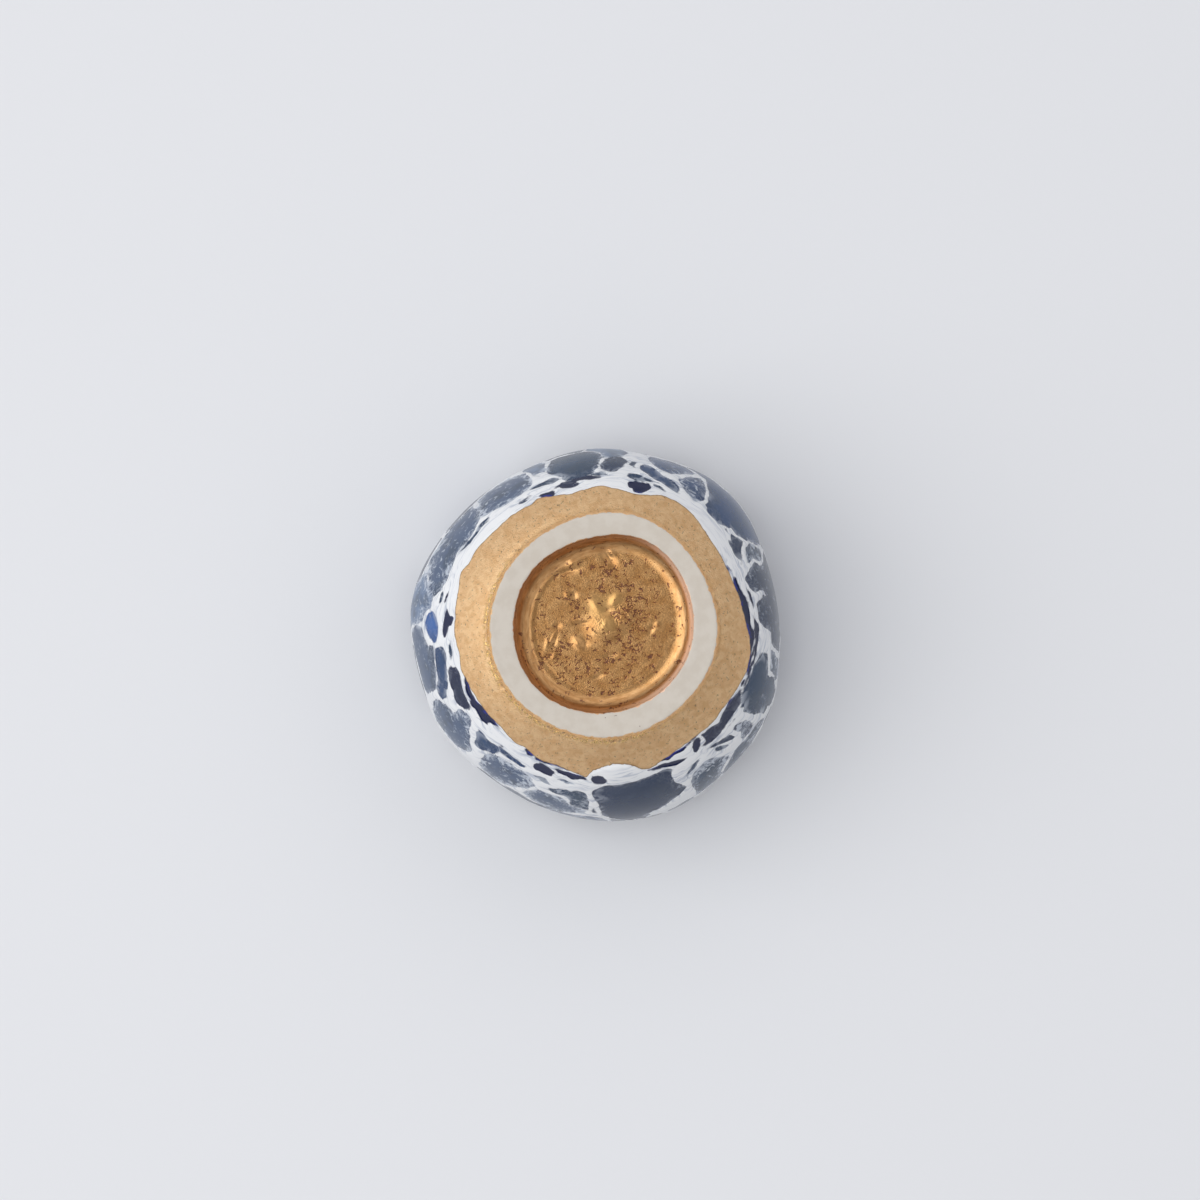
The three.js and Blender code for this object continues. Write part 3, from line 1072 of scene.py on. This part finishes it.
    def pool_colour(self, maps: Maps) -> bpy.types.Node:
        """Colours the pools.

        Args:
            maps: the fields and coordinates.

        Returns:
            The node that gives the pool's tint under faint pale patches, earthy clouds, its darker rim, pure
            cobalt where the ink thins out against the gold, and the milk, in that order.
        """
        put = partial(add, maps.tree)
        clouds = put("TexNoise", self.clouds.over(maps.place))
        pale = put("TexNoise", self.patches.over(maps.place))
        pale = put("MapRange", {0: pale, 1: 0.42, 2: 0.72, 4: 0.07}, **SMOOTHLY)
        pale = put("Math", {0: pale, 1: maps.milky}, **TIMES)
        earthy = put("TexNoise", self.earths.over(maps.place))
        earthy = put("MapRange", {0: earthy, 1: 0.46, 2: 0.64, 4: 0.55}, **SMOOTHLY)
        earthy = put("Math", {0: earthy, 1: maps.milky}, **TIMES)
        near, far = self.rim_width
        rim = put("MapRange", {0: maps.pool, 1: near, 2: far, 3: self.rim_darkening, 4: 0.0}, **SMOOTHLY)
        thick = put("Math", {0: 1.0, 1: maps.milky}, **MINUS)
        thin = put("MapRange", {0: clouds, 1: 0.44, 2: 0.56, 4: thick}, **SMOOTHLY)
        by_gold = put("MapRange", {0: maps.gold, 1: -0.9, 2: -0.15, 4: 0.9}, **SMOOTHLY)
        by_gold = put("Math", {0: by_gold, 1: thin}, **TIMES)
        colour = maps.tint
        for share, over in (
            (pale, self.shade),
            (earthy, self.earth),
            (rim, Tone.INK.colour),
            (by_gold, self.cobalt),
            (self.milky_cover(maps, clouds), self.milk),
        ):
            colour = put("Mix", {0: share, 6: colour, 7: linear(over)}, **COLOURS)
        return colour

    def white_colour(self, maps: Maps) -> bpy.types.Node:
        """Colours the white.

        Args:
            maps: the fields and coordinates.

        Returns:
            The node that thins the white to a bluish shade in streaks along the veins, most by a pool.
        """
        put = partial(add, maps.tree)
        near = put("MapRange", {0: maps.pool, 1: -1.7, 2: -0.1, 3: 0.2, 4: 1.0}, **SMOOTHLY)
        thin = put("TexNoise", self.thinning.over(maps.flow, 1.0))
        thin = put("MapRange", {0: thin, 1: 0.49, 2: 0.66, 4: 0.58}, **SMOOTHLY)
        thin = put("Math", {0: thin, 1: near}, **TIMES)
        return put("Mix", {0: thin, 6: linear(self.white), 7: linear(self.shade)}, **COLOURS)

    def wire(self, maps: Maps) -> Layer:
        """Adds the glaze's nodes.

        Args:
            maps: the fields and coordinates.

        Returns:
            The glaze's layer, whose height is the streaks' faint relief.
        """
        put = partial(add, maps.tree)
        streaks = put("TexNoise", self.streaks.over(maps.flow, 1.0))
        inside = self.inside(maps, streaks)
        colours = {0: inside, 6: self.white_colour(maps), 7: self.pool_colour(maps)}
        satin = put("Mix", {0: maps.milky, 2: self.ink_roughness, 3: self.pool_roughness})
        return Layer(
            put("Mix", colours, **COLOURS),
            put("Mix", {0: inside, 2: self.white_roughness, 3: satin}),
            put("Math", {0: streaks, 1: self.streak_height * METRES}, **TIMES),
        )


@dataclass(frozen=True)
class GoldLustreFinish:
    """Bright gold lustre, a thin film of metal fired on.

    On the shoulder it is brushed over fine grit, which makes it matt. In the recess it lies over smooth
    glaze, so it is glossy there and browns in fine scribbled cracks.

    It is all metal and keeps the default IOR. The grit and the grains are drawn a little coarser than the
    real ones, so that they show.
    """

    shoulder: str = "FFDBAA"
    shoulder_dark: str = "EEC18C"
    # The beads' colour is a painted glint: brighter gold where the beads at the neck catch the light.
    bead: str = "FFD690"
    fleck: str = "7A5A50"
    # Dark brown: the recess's fine grains, the gold's lower edge, and a painted shade line along the neck.
    dark_brown_and_painted_shade: str = "5E3A36"
    recess: str = "D3A36B"
    recess_dark: str = "BE8C56"
    # Painted highlight: a lighter gold on the recess's smooth patches.
    smooth_patch_highlight: str = "E0B272"
    scribbles: str = "744A40"
    cove: str = "EAC492"
    cove_dark: str = "C4925F"
    # Painted shade: the cove's gold on the side away from the light, a darker brown.
    painted_shade_side: str = "E4B27A"
    painted_shade_side_dark: str = "C28E5A"
    rosy: str = "F2CDB2"
    # Painted shade: the worn clay at the top of the cove on the side away from the light, darker than the
    # rosy.
    rosy_in_painted_shade: str = "DDB086"
    shoulder_roughness: float = 0.5
    recess_roughness: float = 0.26
    cove_roughness: float = 0.34
    brushing: Grain = Grain(1.3, 6.0, 0.6)
    flecks: Grain = Grain(0.42, 2.0, 0.6)
    lumps: Grain = Grain(0.6)
    grit: Grain = Grain(0.28, 3.0)
    waves: Grain = Grain(2.2, 3.0)
    grains: Grain = Grain(0.24)
    turning: Grain = Grain(0.5, 4.0)
    worms: Grain = Grain(0.8, 1.0, 0.5)
    breaks: Grain = Grain(1.0, 1.0)
    knobs: Grain = Grain(0.55, 1.0)
    grit_height: float = 0.13
    bead_height: float = 0.12
    grain_height: float = 0.02
    wave_height: float = 0.04
    scribble_height: float = -0.08
    knob_height: float = 0.3
    turning_height: float = 0.05

    def outside(self, maps: Maps) -> Layer:
        """Adds the shoulder's nodes.

        Args:
            maps: the fields and coordinates.

        Returns:
            The layer: brushed light and dark gold with rare flecks, glossy beads at the neck painted a
                brighter gold as
            a glint on the lit side, a painted shade line along the neck, and a darker brown lower edge, on
            grit.
        """
        put = partial(add, maps.tree)
        brushing = put("TexNoise", self.brushing.over(maps.place))
        lumps = put("TexNoise", self.lumps.over(maps.place))
        flecks = put("TexNoise", self.flecks.over(maps.place))
        flecks = put("MapRange", {0: flecks, 1: 0.62, 2: 0.7, 4: 0.6}, **SMOOTHLY)
        # Painted glint: the beads at the neck take a brighter gold, most on the lit side.
        beads_with_painted_glint = put("MapRange", {0: maps.neck, 1: 0.1, 2: 0.6}, **SMOOTHLY)
        beads_with_painted_glint = put("MapRange", {0: lumps, 1: 0.48, 2: 0.56, 4: beads_with_painted_glint}, **SMOOTHLY)
        # Painted shade: a dark brown line along the neck.
        painted_shade_line = put("MapRange", {0: lumps, 1: 0.44, 2: 0.34, 4: 0.45}, **SMOOTHLY)
        painted_shade_line = put("Math", {0: painted_shade_line, 1: maps.neck}, **TIMES)
        rim = put("MapRange", {0: maps.gold, 1: 0.04, 2: 0.26, 3: 0.5, 4: 0.0}, **SMOOTHLY)
        bright = put("MapRange", {0: brushing, 1: 0.3, 2: 0.7}, **SMOOTHLY)
        colour = put("Mix", {0: bright, 6: linear(self.shoulder_dark), 7: linear(self.shoulder)}, **COLOURS)
        for share, over in (flecks, self.fleck), (beads_with_painted_glint, self.bead), (painted_shade_line, self.dark_brown_and_painted_shade), (rim, self.dark_brown_and_painted_shade):
            colour = put("Mix", {0: share, 6: colour, 7: linear(over)}, **COLOURS)
        ranges = {0: beads_with_painted_glint, 1: 0.0, 2: 1.0, 3: self.shoulder_roughness, 4: self.recess_roughness}
        grit = put("TexNoise", self.grit.over(maps.place))
        height = put("Math", {0: grit, 1: self.grit_height * METRES}, **TIMES)
        height = put("Math", {0: beads_with_painted_glint, 1: self.bead_height * METRES, 2: height}, **TIMES_PLUS)
        return Layer(colour, put("MapRange", ranges, **SMOOTHLY), height)

    def scribble(self, maps: Maps) -> bpy.types.Node:
        """Adds the cracks.

        Args:
            maps: the fields and coordinates.

        Returns:
            The node that gives 1 where a noise crosses its middle, broken into worms in the patches.
        """
        put = partial(add, maps.tree)
        breaks = put("TexNoise", self.breaks.over(maps.place))
        broken = put("Math", {0: maps.scribbled, 1: 0.2, 2: breaks}, **TIMES_PLUS)
        broken = put("MapRange", {0: broken, 1: 0.6, 2: 0.66}, **SMOOTHLY)
        worm = put("Math", {0: put("TexNoise", self.worms.over(maps.place)), 1: 0.5}, **MINUS)
        worm = put("Math", {0: worm}, **UNSIGNED)
        return put("MapRange", {0: worm, 1: 0.065, 2: 0.03, 4: broken}, **SMOOTHLY)

    def cove_colour(self, maps: Maps, turning: bpy.types.Node) -> bpy.types.Node:
        """Colours the cove.

        Args:
            maps: the fields and coordinates.
            turning: the noise that runs round the recess.

        Returns:
            The node that gives bands left by turning, in bright gold, and in darker brown gold as painted
            shade on the side away from the light.
        """
        put = partial(add, maps.tree)
        band = put("MapRange", {0: turning, 1: 0.35, 2: 0.65}, **SMOOTHLY)
        bright = put("Mix", {0: band, 6: linear(self.cove_dark), 7: linear(self.cove)}, **COLOURS)
        brown = put("Mix", {0: band, 6: linear(self.painted_shade_side_dark), 7: linear(self.painted_shade_side)}, **COLOURS)
        return put("Mix", {0: maps.painted_shade_side, 6: bright, 7: brown}, **COLOURS)

    def within(self, maps: Maps) -> Layer:
        """Adds the recess's nodes.

        Args:
            maps: the fields and coordinates.

        Returns:
            The layer: wavy gold with fine dark grains, smooth where it melted together and there painted
                lighter as a
            highlight, banded up the cove and painted darker as shade on its side away from the light, worn to
            rosy clay at the ring, which is painted darker as shade on that side too, and scribbled over.
        """
        put = partial(add, maps.tree)
        waves = put("TexNoise", self.waves.over(maps.place))
        grains = put("TexNoise", self.grains.over(maps.place))
        turning = put("TexNoise", self.turning.over(maps.flow, 1.0))
        scribble = self.scribble(maps)
        bright = put("MapRange", {0: waves, 1: 0.35, 2: 0.65}, **SMOOTHLY)
        dark = put("MapRange", {0: grains, 1: 0.45, 2: 0.7, 4: 0.28}, **SMOOTHLY)
        # Painted highlight: the smooth patches take a lighter gold.
        smooth_patch_highlight = put("Math", {0: maps.pooled, 1: 0.7}, **TIMES)
        worn = put("MapRange", {0: maps.lustre, 1: 1.0, 2: 0.3}, **SMOOTHLY)
        # Painted shade: the worn clay is darker on the side away from the light.
        clay = put("Mix", {0: maps.painted_shade_side, 6: linear(self.rosy), 7: linear(self.rosy_in_painted_shade)}, **COLOURS)
        cracks = put("Math", {0: scribble, 1: 0.8}, **TIMES)
        colour = put("Mix", {0: bright, 6: linear(self.recess_dark), 7: linear(self.recess)}, **COLOURS)
        for share, over in (
            (dark, linear(self.dark_brown_and_painted_shade)),
            (smooth_patch_highlight, linear(self.smooth_patch_highlight)),
            (maps.wall, self.cove_colour(maps, turning)),
            (worn, clay),
            (cracks, linear(self.scribbles)),
        ):
            colour = put("Mix", {0: share, 6: colour, 7: over}, **COLOURS)
        calm = {0: maps.pooled, 1: 0.0, 2: 0.8, 3: self.grain_height * METRES, 4: 0.0}
        calm = put("MapRange", calm, **SMOOTHLY)
        knobs = put("Math", {0: put("TexNoise", self.knobs.over(maps.place)), 1: maps.knobbled}, **TIMES)
        floor = put("Math", {0: grains, 1: calm}, **TIMES)
        for noise, height in (
            (waves, self.wave_height),
            (scribble, self.scribble_height),
            (knobs, self.knob_height),
        ):
            floor = put("Math", {0: noise, 1: height * METRES, 2: floor}, **TIMES_PLUS)
        turned = put("Math", {0: turning, 1: self.turning_height * METRES}, **TIMES)
        shine = put("Mix", {0: maps.wall, 2: self.recess_roughness, 3: self.cove_roughness})
        return Layer(colour, shine, put("Mix", {0: maps.wall, 2: floor, 3: turned}))

    def wire(self, maps: Maps) -> Layer:
        """Adds the lustre's nodes.

        Args:
            maps: the fields and coordinates.

        Returns:
            The lustre's layer: the shoulder's outside, and the recess's in the hollow.
        """
        put = partial(add, maps.tree)
        outside, within = self.outside(maps), self.within(maps)
        return Layer(
            put("Mix", {0: maps.hollow, 6: outside.colour, 7: within.colour}, **COLOURS),
            put("Mix", {0: maps.hollow, 2: outside.roughness, 3: within.roughness}),
            put("Mix", {0: maps.hollow, 2: outside.height, 3: within.height}),
        )


@dataclass(frozen=True)
class BareClayFinish:
    """Unglazed porcelain, ground flat where the foot would stand: dry, cream-grey, with a few iron specks."""

    clay: str = "CDC6BB"
    shade: str = "C7BFB3"
    speck: str = "6E5C55"
    roughness: float = 0.85
    clouds: Grain = Grain(2.4, 3.0)
    specks: Grain = Grain(0.9, 1.0, 0.5)
    tooth: Grain = Grain(0.16)
    tooth_height: float = 0.015

    def wire(self, maps: Maps) -> Layer:
        """Adds the clay's nodes.

        Args:
            maps: the fields and coordinates.

        Returns:
            The clay's layer: a faint cloud and rare specks, on a fine tooth.
        """
        put = partial(add, maps.tree)
        cloud = put("TexNoise", self.clouds.over(maps.place))
        cloud = put("MapRange", {0: cloud, 1: 0.35, 2: 0.65}, **SMOOTHLY)
        speck = put("TexNoise", self.specks.over(maps.place))
        speck = put("MapRange", {0: speck, 1: 0.8, 2: 0.83}, **SMOOTHLY)
        colour = put("Mix", {0: cloud, 6: linear(self.shade), 7: linear(self.clay)}, **COLOURS)
        colour = put("Mix", {0: speck, 6: colour, 7: linear(self.speck)}, **COLOURS)
        tooth = put("TexNoise", self.tooth.over(maps.place))
        return Layer(colour, self.roughness, put("Math", {0: tooth, 1: self.tooth_height * METRES}, **TIMES))


@dataclass
class Cup:
    """The whole cup: its form, the fields of its finishes, its relief and its one material."""

    form: CupForm
    glaze: MarbledGlaze
    recess: FootRecess
    relief: Relief
    name: str = "marbled_sake_cup"
    gold_waver: tuple[Point, ...] = ((1.5, 0.18), (0.6, 0.1))
    clay_waver: tuple[Point, ...] = ((1.1, 0.18), (0.5, 0.2))
    clay_spread: float = 0.25
    worn_share: float = 0.85
    worn_toward: float = -12.0
    painted_shade_toward: float = 185.0
    lit_side_toward: float = 225.0
    beads_depth: float = -0.2
    flow_radius: float = 3.2
    flow_bend: float = 0.8
    gold_fray: float = 0.08
    clay_fray: float = 0.1
    fray: Grain = Grain(0.35, 3.0)
    seed: int = 23

    def ring(self, skin: Skin) -> Point:
        """Gives the depth of the middle of the ring's face, and half the width of its bare clay."""
        inner, outer = skin.ends["inner edge"], skin.ends["ring face"]
        return (inner + outer) / 2, (outer - inner) / 2 + self.clay_spread

    def spots(self, skin: Skin) -> np.ndarray:
        """Sees the vertices from above.

        Args:
            skin: the cup's skin.

        Returns:
            Each vertex's place x + iy, in mm from the middle of the foot ring.
        """
        middle, half = self.ring(skin)
        ring = skin.places[np.abs(skin.depth - middle) < half][:, :2]
        foot = (ring.min(0) + ring.max(0)) / 2
        return (skin.places[:, 0] - foot[0]) + 1j * (skin.places[:, 1] - foot[1])

    def outer_fields(self, skin: Skin, noise: Noise) -> dict[str, np.ndarray]:
        """Works out the fields of the gold and of the clay.

        Args:
            skin: the cup's skin.
            noise: the noise that makes their edges waver.

        Returns:
            "gold", the hand-drawn edge's depth less the vertex's, and "clay", half the ring's width less the
            way from its middle, both in mm; "hollow", 1 in the recess; "neck", how near the neck a point is,
            most on the side that catches the light.
        """
        middle, half = self.ring(skin)
        angles, depths = np.array(GOLD_EDGE, float).T
        edge = np.interp(np.degrees(skin.direction), angles, depths, period=360)
        for size, reach in self.gold_waver:
            edge = edge + reach * noise.at(skin.places, size)
        ragged = sum(reach * noise.at(skin.places, size) for size, reach in self.clay_waver)
        hollow = (skin.depth < middle).astype(float)
        # The neck is strongest on the lit side, where its beads get a painted glint and a painted shade line.
        lit = 0.3 + 0.7 * smooth(np.cos(skin.direction - math.radians(self.lit_side_toward)), -0.1, 0.8)
        return {
            "gold": edge - skin.depth,
            "clay": half - np.abs(skin.depth - middle) + ragged,
            "hollow": hollow,
            "neck": np.exp(-((skin.depth - self.beads_depth) ** 2)) * (1 - hollow) * lit,
        }

    def recess_fields(self, skin: Skin, spots: np.ndarray, hollow: np.ndarray) -> dict[str, np.ndarray]:
        """Works out the fields of the recess.

        Args:
            skin: the cup's skin.
            spots: the vertices' places as seen from above.
            hollow: 1 at the vertices in the recess.

        Returns:
            "wall", rising to 1 up the cove, and early on its side away from the light; "painted_shade_side",
            1 on that side, where the gold and the worn clay are painted darker as shade; "lustre", how much
            of the gold lies over the clay, least at the top of the cove; "pooled", "scribbled" and
            "knobbled", how smooth or rough the floor is, the smooth patches also painted lighter as a
            highlight.
        """
        floor, cove = skin.ends["recess floor"], skin.ends["cove"]
        toward = np.angle(spots)
        # Painted shade: the cove on the side away from the light is coloured darker brown, reaching further
        # down.
        painted_shade_side = smooth(np.cos(toward - math.radians(self.painted_shade_toward)), -0.65, -0.1) * hollow
        early = smooth(skin.depth, floor - 0.2, floor + 0.5) * painted_shade_side
        wall = np.maximum(smooth(skin.depth, floor, cove - 1.5) * hollow, early)
        worn = smooth(skin.depth, cove - 2.8, cove - 1.2) * hollow
        worn = worn * (0.4 + 0.6 * smooth(np.cos(toward - math.radians(self.worn_toward)), 0.0, 0.8))
        pooled = np.minimum(patches_at(SMOOTH, spots) * 1.6, 1) * hollow
        return {
            "wall": wall,
            "painted_shade_side": painted_shade_side,
            "lustre": 1 - self.worn_share * worn,
            "pooled": pooled,
            "scribbled": patches_at(SCRIBBLED, spots) * (1 - pooled) * hollow,
            "knobbled": patches_at(KNOBBLED, spots) * hollow,
        }

    def flow(self, skin: Skin, pool: np.ndarray) -> np.ndarray:
        """Works out the coordinates that the glaze's streaks and the recess's turning follow.

        Args:
            skin: the cup's skin.
            pool: the pools' field.

        Returns:
            One row for each vertex, in mm. They run slowly round the cup and quickly across the veins.
        """
        across = skin.depth + self.flow_bend * np.clip(pool, -1.5, 1)
        round_x = self.flow_radius * np.cos(skin.direction)
        round_y = self.flow_radius * np.sin(skin.direction)
        return np.column_stack([round_x, round_y, across])

    def mesh(self, skin: Skin) -> bpy.types.Mesh:
        """Puts the skin into a mesh, in metres.

        Args:
            skin: the cup's skin.

        Returns:
            The smoothly shaded mesh.
        """
        corners = np.concatenate([faces.ravel() for faces in skin.faces])
        sizes = np.concatenate([np.full(len(faces), faces.shape[1]) for faces in skin.faces])
        mesh = bpy.data.meshes.new(self.name)
        mesh.vertices.add(len(skin.places))
        mesh.vertices.foreach_set("co", (skin.places * METRES).ravel())
        mesh.loops.add(len(corners))
        mesh.loops.foreach_set("vertex_index", corners)
        mesh.polygons.add(len(sizes))
        mesh.polygons.foreach_set("loop_start", np.concatenate([[0], np.cumsum(sizes)[:-1]]))
        mesh.update(calc_edges=True)
        mesh.shade_smooth()
        return mesh

    def emboss(self, mesh: bpy.types.Mesh, skin: Skin, height: np.ndarray) -> None:
        """Moves every vertex out along its normal, and none below the ground.

        Args:
            mesh: the cup's mesh.
            skin: the cup's skin.
            height: how far each vertex moves, in mm.
        """
        normals = np.empty(len(skin.places) * 3, np.float32)
        mesh.vertex_normals.foreach_get("vector", normals)
        moved = skin.places + normals.reshape(-1, 3) * height[:, None]
        moved[:, 2] = np.maximum(moved[:, 2], 0)
        mesh.vertices.foreach_set("co", (moved * METRES).ravel())
        mesh.update()

    def store(self, mesh: bpy.types.Mesh, fields: dict[str, np.ndarray]) -> None:
        """Writes the fields as attributes of the vertices.

        Args:
            mesh: the cup's mesh.
            fields: numbers, vectors or colours for each vertex, told apart by their width.
        """
        kinds = {1: ("FLOAT", "value"), 3: ("FLOAT_VECTOR", "vector"), 4: ("FLOAT_COLOR", "color")}
        for name, values in fields.items():
            kind, slot = kinds[values.shape[1] if values.ndim > 1 else 1]
            layer = mesh.attributes.new(name, kind, "POINT")
            layer.data.foreach_set(slot, values.astype(np.float32).ravel())

    def material(self) -> bpy.types.Material:
        """Makes the cup's one material.

        Returns:
            The glaze, with the lustre and the bare clay laid over it.
        """
        # Glazed porcelain with fired gold: glassy blues and whites, a metal's warm gloss, and dry clay.
        material = bpy.data.materials.new("marbled_porcelain_with_gold_lustre")
        material.use_nodes = True
        tree = material.node_tree
        tree.nodes.clear()
        put = partial(add, tree)
        maps = Maps(tree)
        glaze = MarbledGlazeFinish().wire(maps)
        gold = GoldLustreFinish().wire(maps)
        clay = BareClayFinish().wire(maps)
        fray = put("TexNoise", self.fray.over(maps.place))
        gilded = put("Math", {0: fray, 1: 2 * self.gold_fray, 2: maps.gold}, **TIMES_PLUS)
        gilded = {0: gilded, 1: self.gold_fray - 0.03, 2: self.gold_fray + 0.03}
        gilded = put("MapRange", gilded, **SMOOTHLY)
        bare = put("Math", {0: fray, 1: 2 * self.clay_fray, 2: maps.clay}, **TIMES_PLUS)
        bare = {0: bare, 1: self.clay_fray - 0.04, 2: self.clay_fray + 0.04}
        bare = put("MapRange", bare, **SMOOTHLY)
        covered = put("Math", {0: 1.0, 1: bare}, **MINUS)
        metal = put("Math", {0: put("Math", {0: gilded, 1: covered}, **TIMES), 1: maps.lustre}, **TIMES)
        colour = put("Mix", {0: gilded, 6: glaze.colour, 7: gold.colour}, **COLOURS)
        roughness = put("Mix", {0: gilded, 2: glaze.roughness, 3: gold.roughness})
        height = put("Mix", {0: gilded, 2: glaze.height, 3: gold.height})
        colour = put("Mix", {0: bare, 6: colour, 7: clay.colour}, **COLOURS)
        roughness = put("Mix", {0: bare, 2: roughness, 3: clay.roughness})
        height = put("Mix", {0: bare, 2: height, 3: clay.height})
        bump = put("Bump", {"Height": height, "Distance": 1.0, "Strength": 1.0})
        surface = {"Base Color": colour, "Metallic": metal, "Roughness": roughness, "Normal": bump}
        put("OutputMaterial", {"Surface": put("BsdfPrincipled", surface)})
        return material

    def build(self) -> bpy.types.Object:
        """Makes the finished piece.

        Returns:
            The piece, which rides on the cup's body and stands for its solid.
        """
        noise = Noise(self.seed)
        skin = self.form.skin()
        low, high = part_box(SOLID)
        skin.places[:, 0] += (low.x + high.x) / 2 / METRES
        skin.places[:, 1] += (low.y + high.y) / 2 / METRES
        spots = self.spots(skin)
        fields = self.glaze.lay(skin) | self.outer_fields(skin, noise)
        fields |= self.recess_fields(skin, spots, fields["hollow"])
        fields["flow"] = self.flow(skin, fields["pool"])
        mesh = self.mesh(skin)
        height = self.relief.height(skin, fields, noise)
        height += self.recess.relief(skin, spots) * fields["hollow"]
        self.emboss(mesh, skin, height)
        self.store(mesh, fields)
        mesh.materials.append(self.material())
        piece = bpy.data.objects.new(self.name, mesh)
        bpy.context.scene.collection.objects.link(piece)
        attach(piece, "root")
        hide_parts(SOLID)
        LOG.info("cup: %d faces", len(mesh.polygons))
        return piece


@dataclass
class Studio:
    """A pale floor, one broad soft light from the left, an even room and the camera straight above."""

    floor_half: float = 4000.0
    floor_colour: str = "E1E3E6"
    floor_roughness: float = 0.9
    floor_gloss: float = 0.2
    key_from: float = 180.0
    key_elevation: float = 52.0
    key_distance: float = 1500.0
    key_size: Point = (1900.0, 1400.0)
    key_power: float = 11.1
    top_height: float = 1600.0
    top_size: Point = (560.0, 560.0)
    top_power: float = 3.6
    room: str = "FDFCFF"
    room_middle: float = 0.8
    room_slope: Point = (-0.1, 0.24)
    ceiling_from: float = 0.8
    ceiling_share: float = 0.5
    horizon_to: float = 0.75
    horizon_share: float = 0.06
    camera_height: float = 900.0
    camera_place: Point = (0.91, 6.23)
    focal_pixels: float = 4924.0
    image_pixels: int = 1200
    sensor: float = 36.0
    nearest: float = 10.0

    def build_floor(self) -> bpy.types.Object:
        """Makes the floor.

        Returns:
            A plain square that reaches far past every view.
        """
        half = self.floor_half * METRES
        corners = [(-half, -half, 0), (half, -half, 0), (half, half, 0), (-half, half, 0)]
        mesh = bpy.data.meshes.new("floor")
        mesh.from_pydata(corners, [], [(0, 1, 2, 3)])
        # A painted board: dry and even, so that only the cup's soft shadow shows on it.
        material = bpy.data.materials.new("pale_matt_board")
        material.use_nodes = True
        tree = material.node_tree
        tree.nodes.clear()
        surface = {
            "Base Color": linear(self.floor_colour),
            "Roughness": self.floor_roughness,
            "Specular IOR Level": self.floor_gloss,
        }
        add(tree, "OutputMaterial", {"Surface": add(tree, "BsdfPrincipled", surface)})
        mesh.materials.append(material)
        floor = bpy.data.objects.new("floor", mesh)
        bpy.context.scene.collection.objects.link(floor)
        return floor

    def build_room(self) -> None:
        """Sets the room's even light: brighter to one side, darker straight above and down at the horizon."""
        world = bpy.data.worlds.new("soft_room")
        bpy.context.scene.world = world
        world.use_nodes = True
        tree = world.node_tree
        tree.nodes.clear()
        put = partial(add, tree)
        toward = put("SeparateXYZ", {0: put("TexCoord").outputs["Generated"]}).outputs
        side = {0: toward["X"], 1: self.room_slope[0], 2: self.room_middle}
        side = {0: toward["Y"], 1: self.room_slope[1], 2: put("Math", side, **TIMES_PLUS)}
        above = {0: toward["Z"], 1: self.ceiling_from, 2: 1.0, 3: 1.0, 4: self.ceiling_share}
        above = put("MapRange", above, **SMOOTHLY)
        low = {0: toward["Z"], 1: 0.0, 2: self.horizon_to, 3: self.horizon_share, 4: 1.0}
        low = put("MapRange", low, **SMOOTHLY)
        strength = put("Math", {0: put("Math", side, **TIMES_PLUS), 1: above}, **TIMES)
        strength = put("Math", {0: strength, 1: low}, **TIMES)
        air = put("Background", {"Color": linear(self.room), "Strength": strength})
        put("OutputWorld", {"Surface": air})
        bpy.context.scene.view_settings.view_transform = "Standard"

    def build_lights(self) -> None:
        """Hangs the broad light, which faces the cup, and a small one overhead that has no highlight."""
        across, up = math.radians(self.key_from), math.radians(self.key_elevation)
        reach = self.key_distance * METRES
        window = self.hang("soft_window", self.key_size, self.key_power)
        window.location = (
            reach * math.cos(up) * math.cos(across),
            reach * math.cos(up) * math.sin(across),
            reach * math.sin(up),
        )
        window.rotation_euler = (0, math.pi / 2 - up, across)
        above = self.hang("soft_overhead", self.top_size, self.top_power)
        above.location = (0, 0, self.top_height * METRES)
        above.visible_glossy = False

    def hang(self, name: str, size: Point, power: float) -> bpy.types.Object:
        """Adds a soft rectangular light.

        Args:
            name: what it is called.
            size: its width and height in mm.
            power: its power in watts.

        Returns:
            The light, which shines down from the origin.
        """
        lamp = bpy.data.lights.new(name, "AREA")
        lamp.shape = "RECTANGLE"
        lamp.size, lamp.size_y = size[0] * METRES, size[1] * METRES
        lamp.energy = power
        light = bpy.data.objects.new(name, lamp)
        bpy.context.scene.collection.objects.link(light)
        return light

    def build_camera(self) -> bpy.types.Object:
        """Hangs the camera.

        Returns:
            It, straight above and looking down, with +Y up in the picture.
        """
        lens = bpy.data.cameras.new("camera")
        lens.sensor_width = self.sensor
        lens.lens = self.focal_pixels * self.sensor / self.image_pixels
        lens.clip_start = self.nearest * METRES
        camera = bpy.data.objects.new("camera", lens)
        bpy.context.scene.collection.objects.link(camera)
        camera.location = [v * METRES for v in (*self.camera_place, self.camera_height)]
        bpy.context.scene.camera = camera
        return camera

    def build(self) -> None:
        """Sets up the floor, the room, the lights and the camera."""
        self.build_floor()
        self.build_room()
        self.build_lights()
        self.build_camera()
        LOG.info("studio: floor, room, lights and camera")


def main() -> None:
    """Builds the studio and the cup, and logs the cup's count of faces."""
    logging.basicConfig(level=logging.INFO, format="%(message)s")
    Studio().build()
    Cup(CupForm(), MarbledGlaze(), FootRecess(), Relief()).build()


if __name__ == "__main__":
    main()
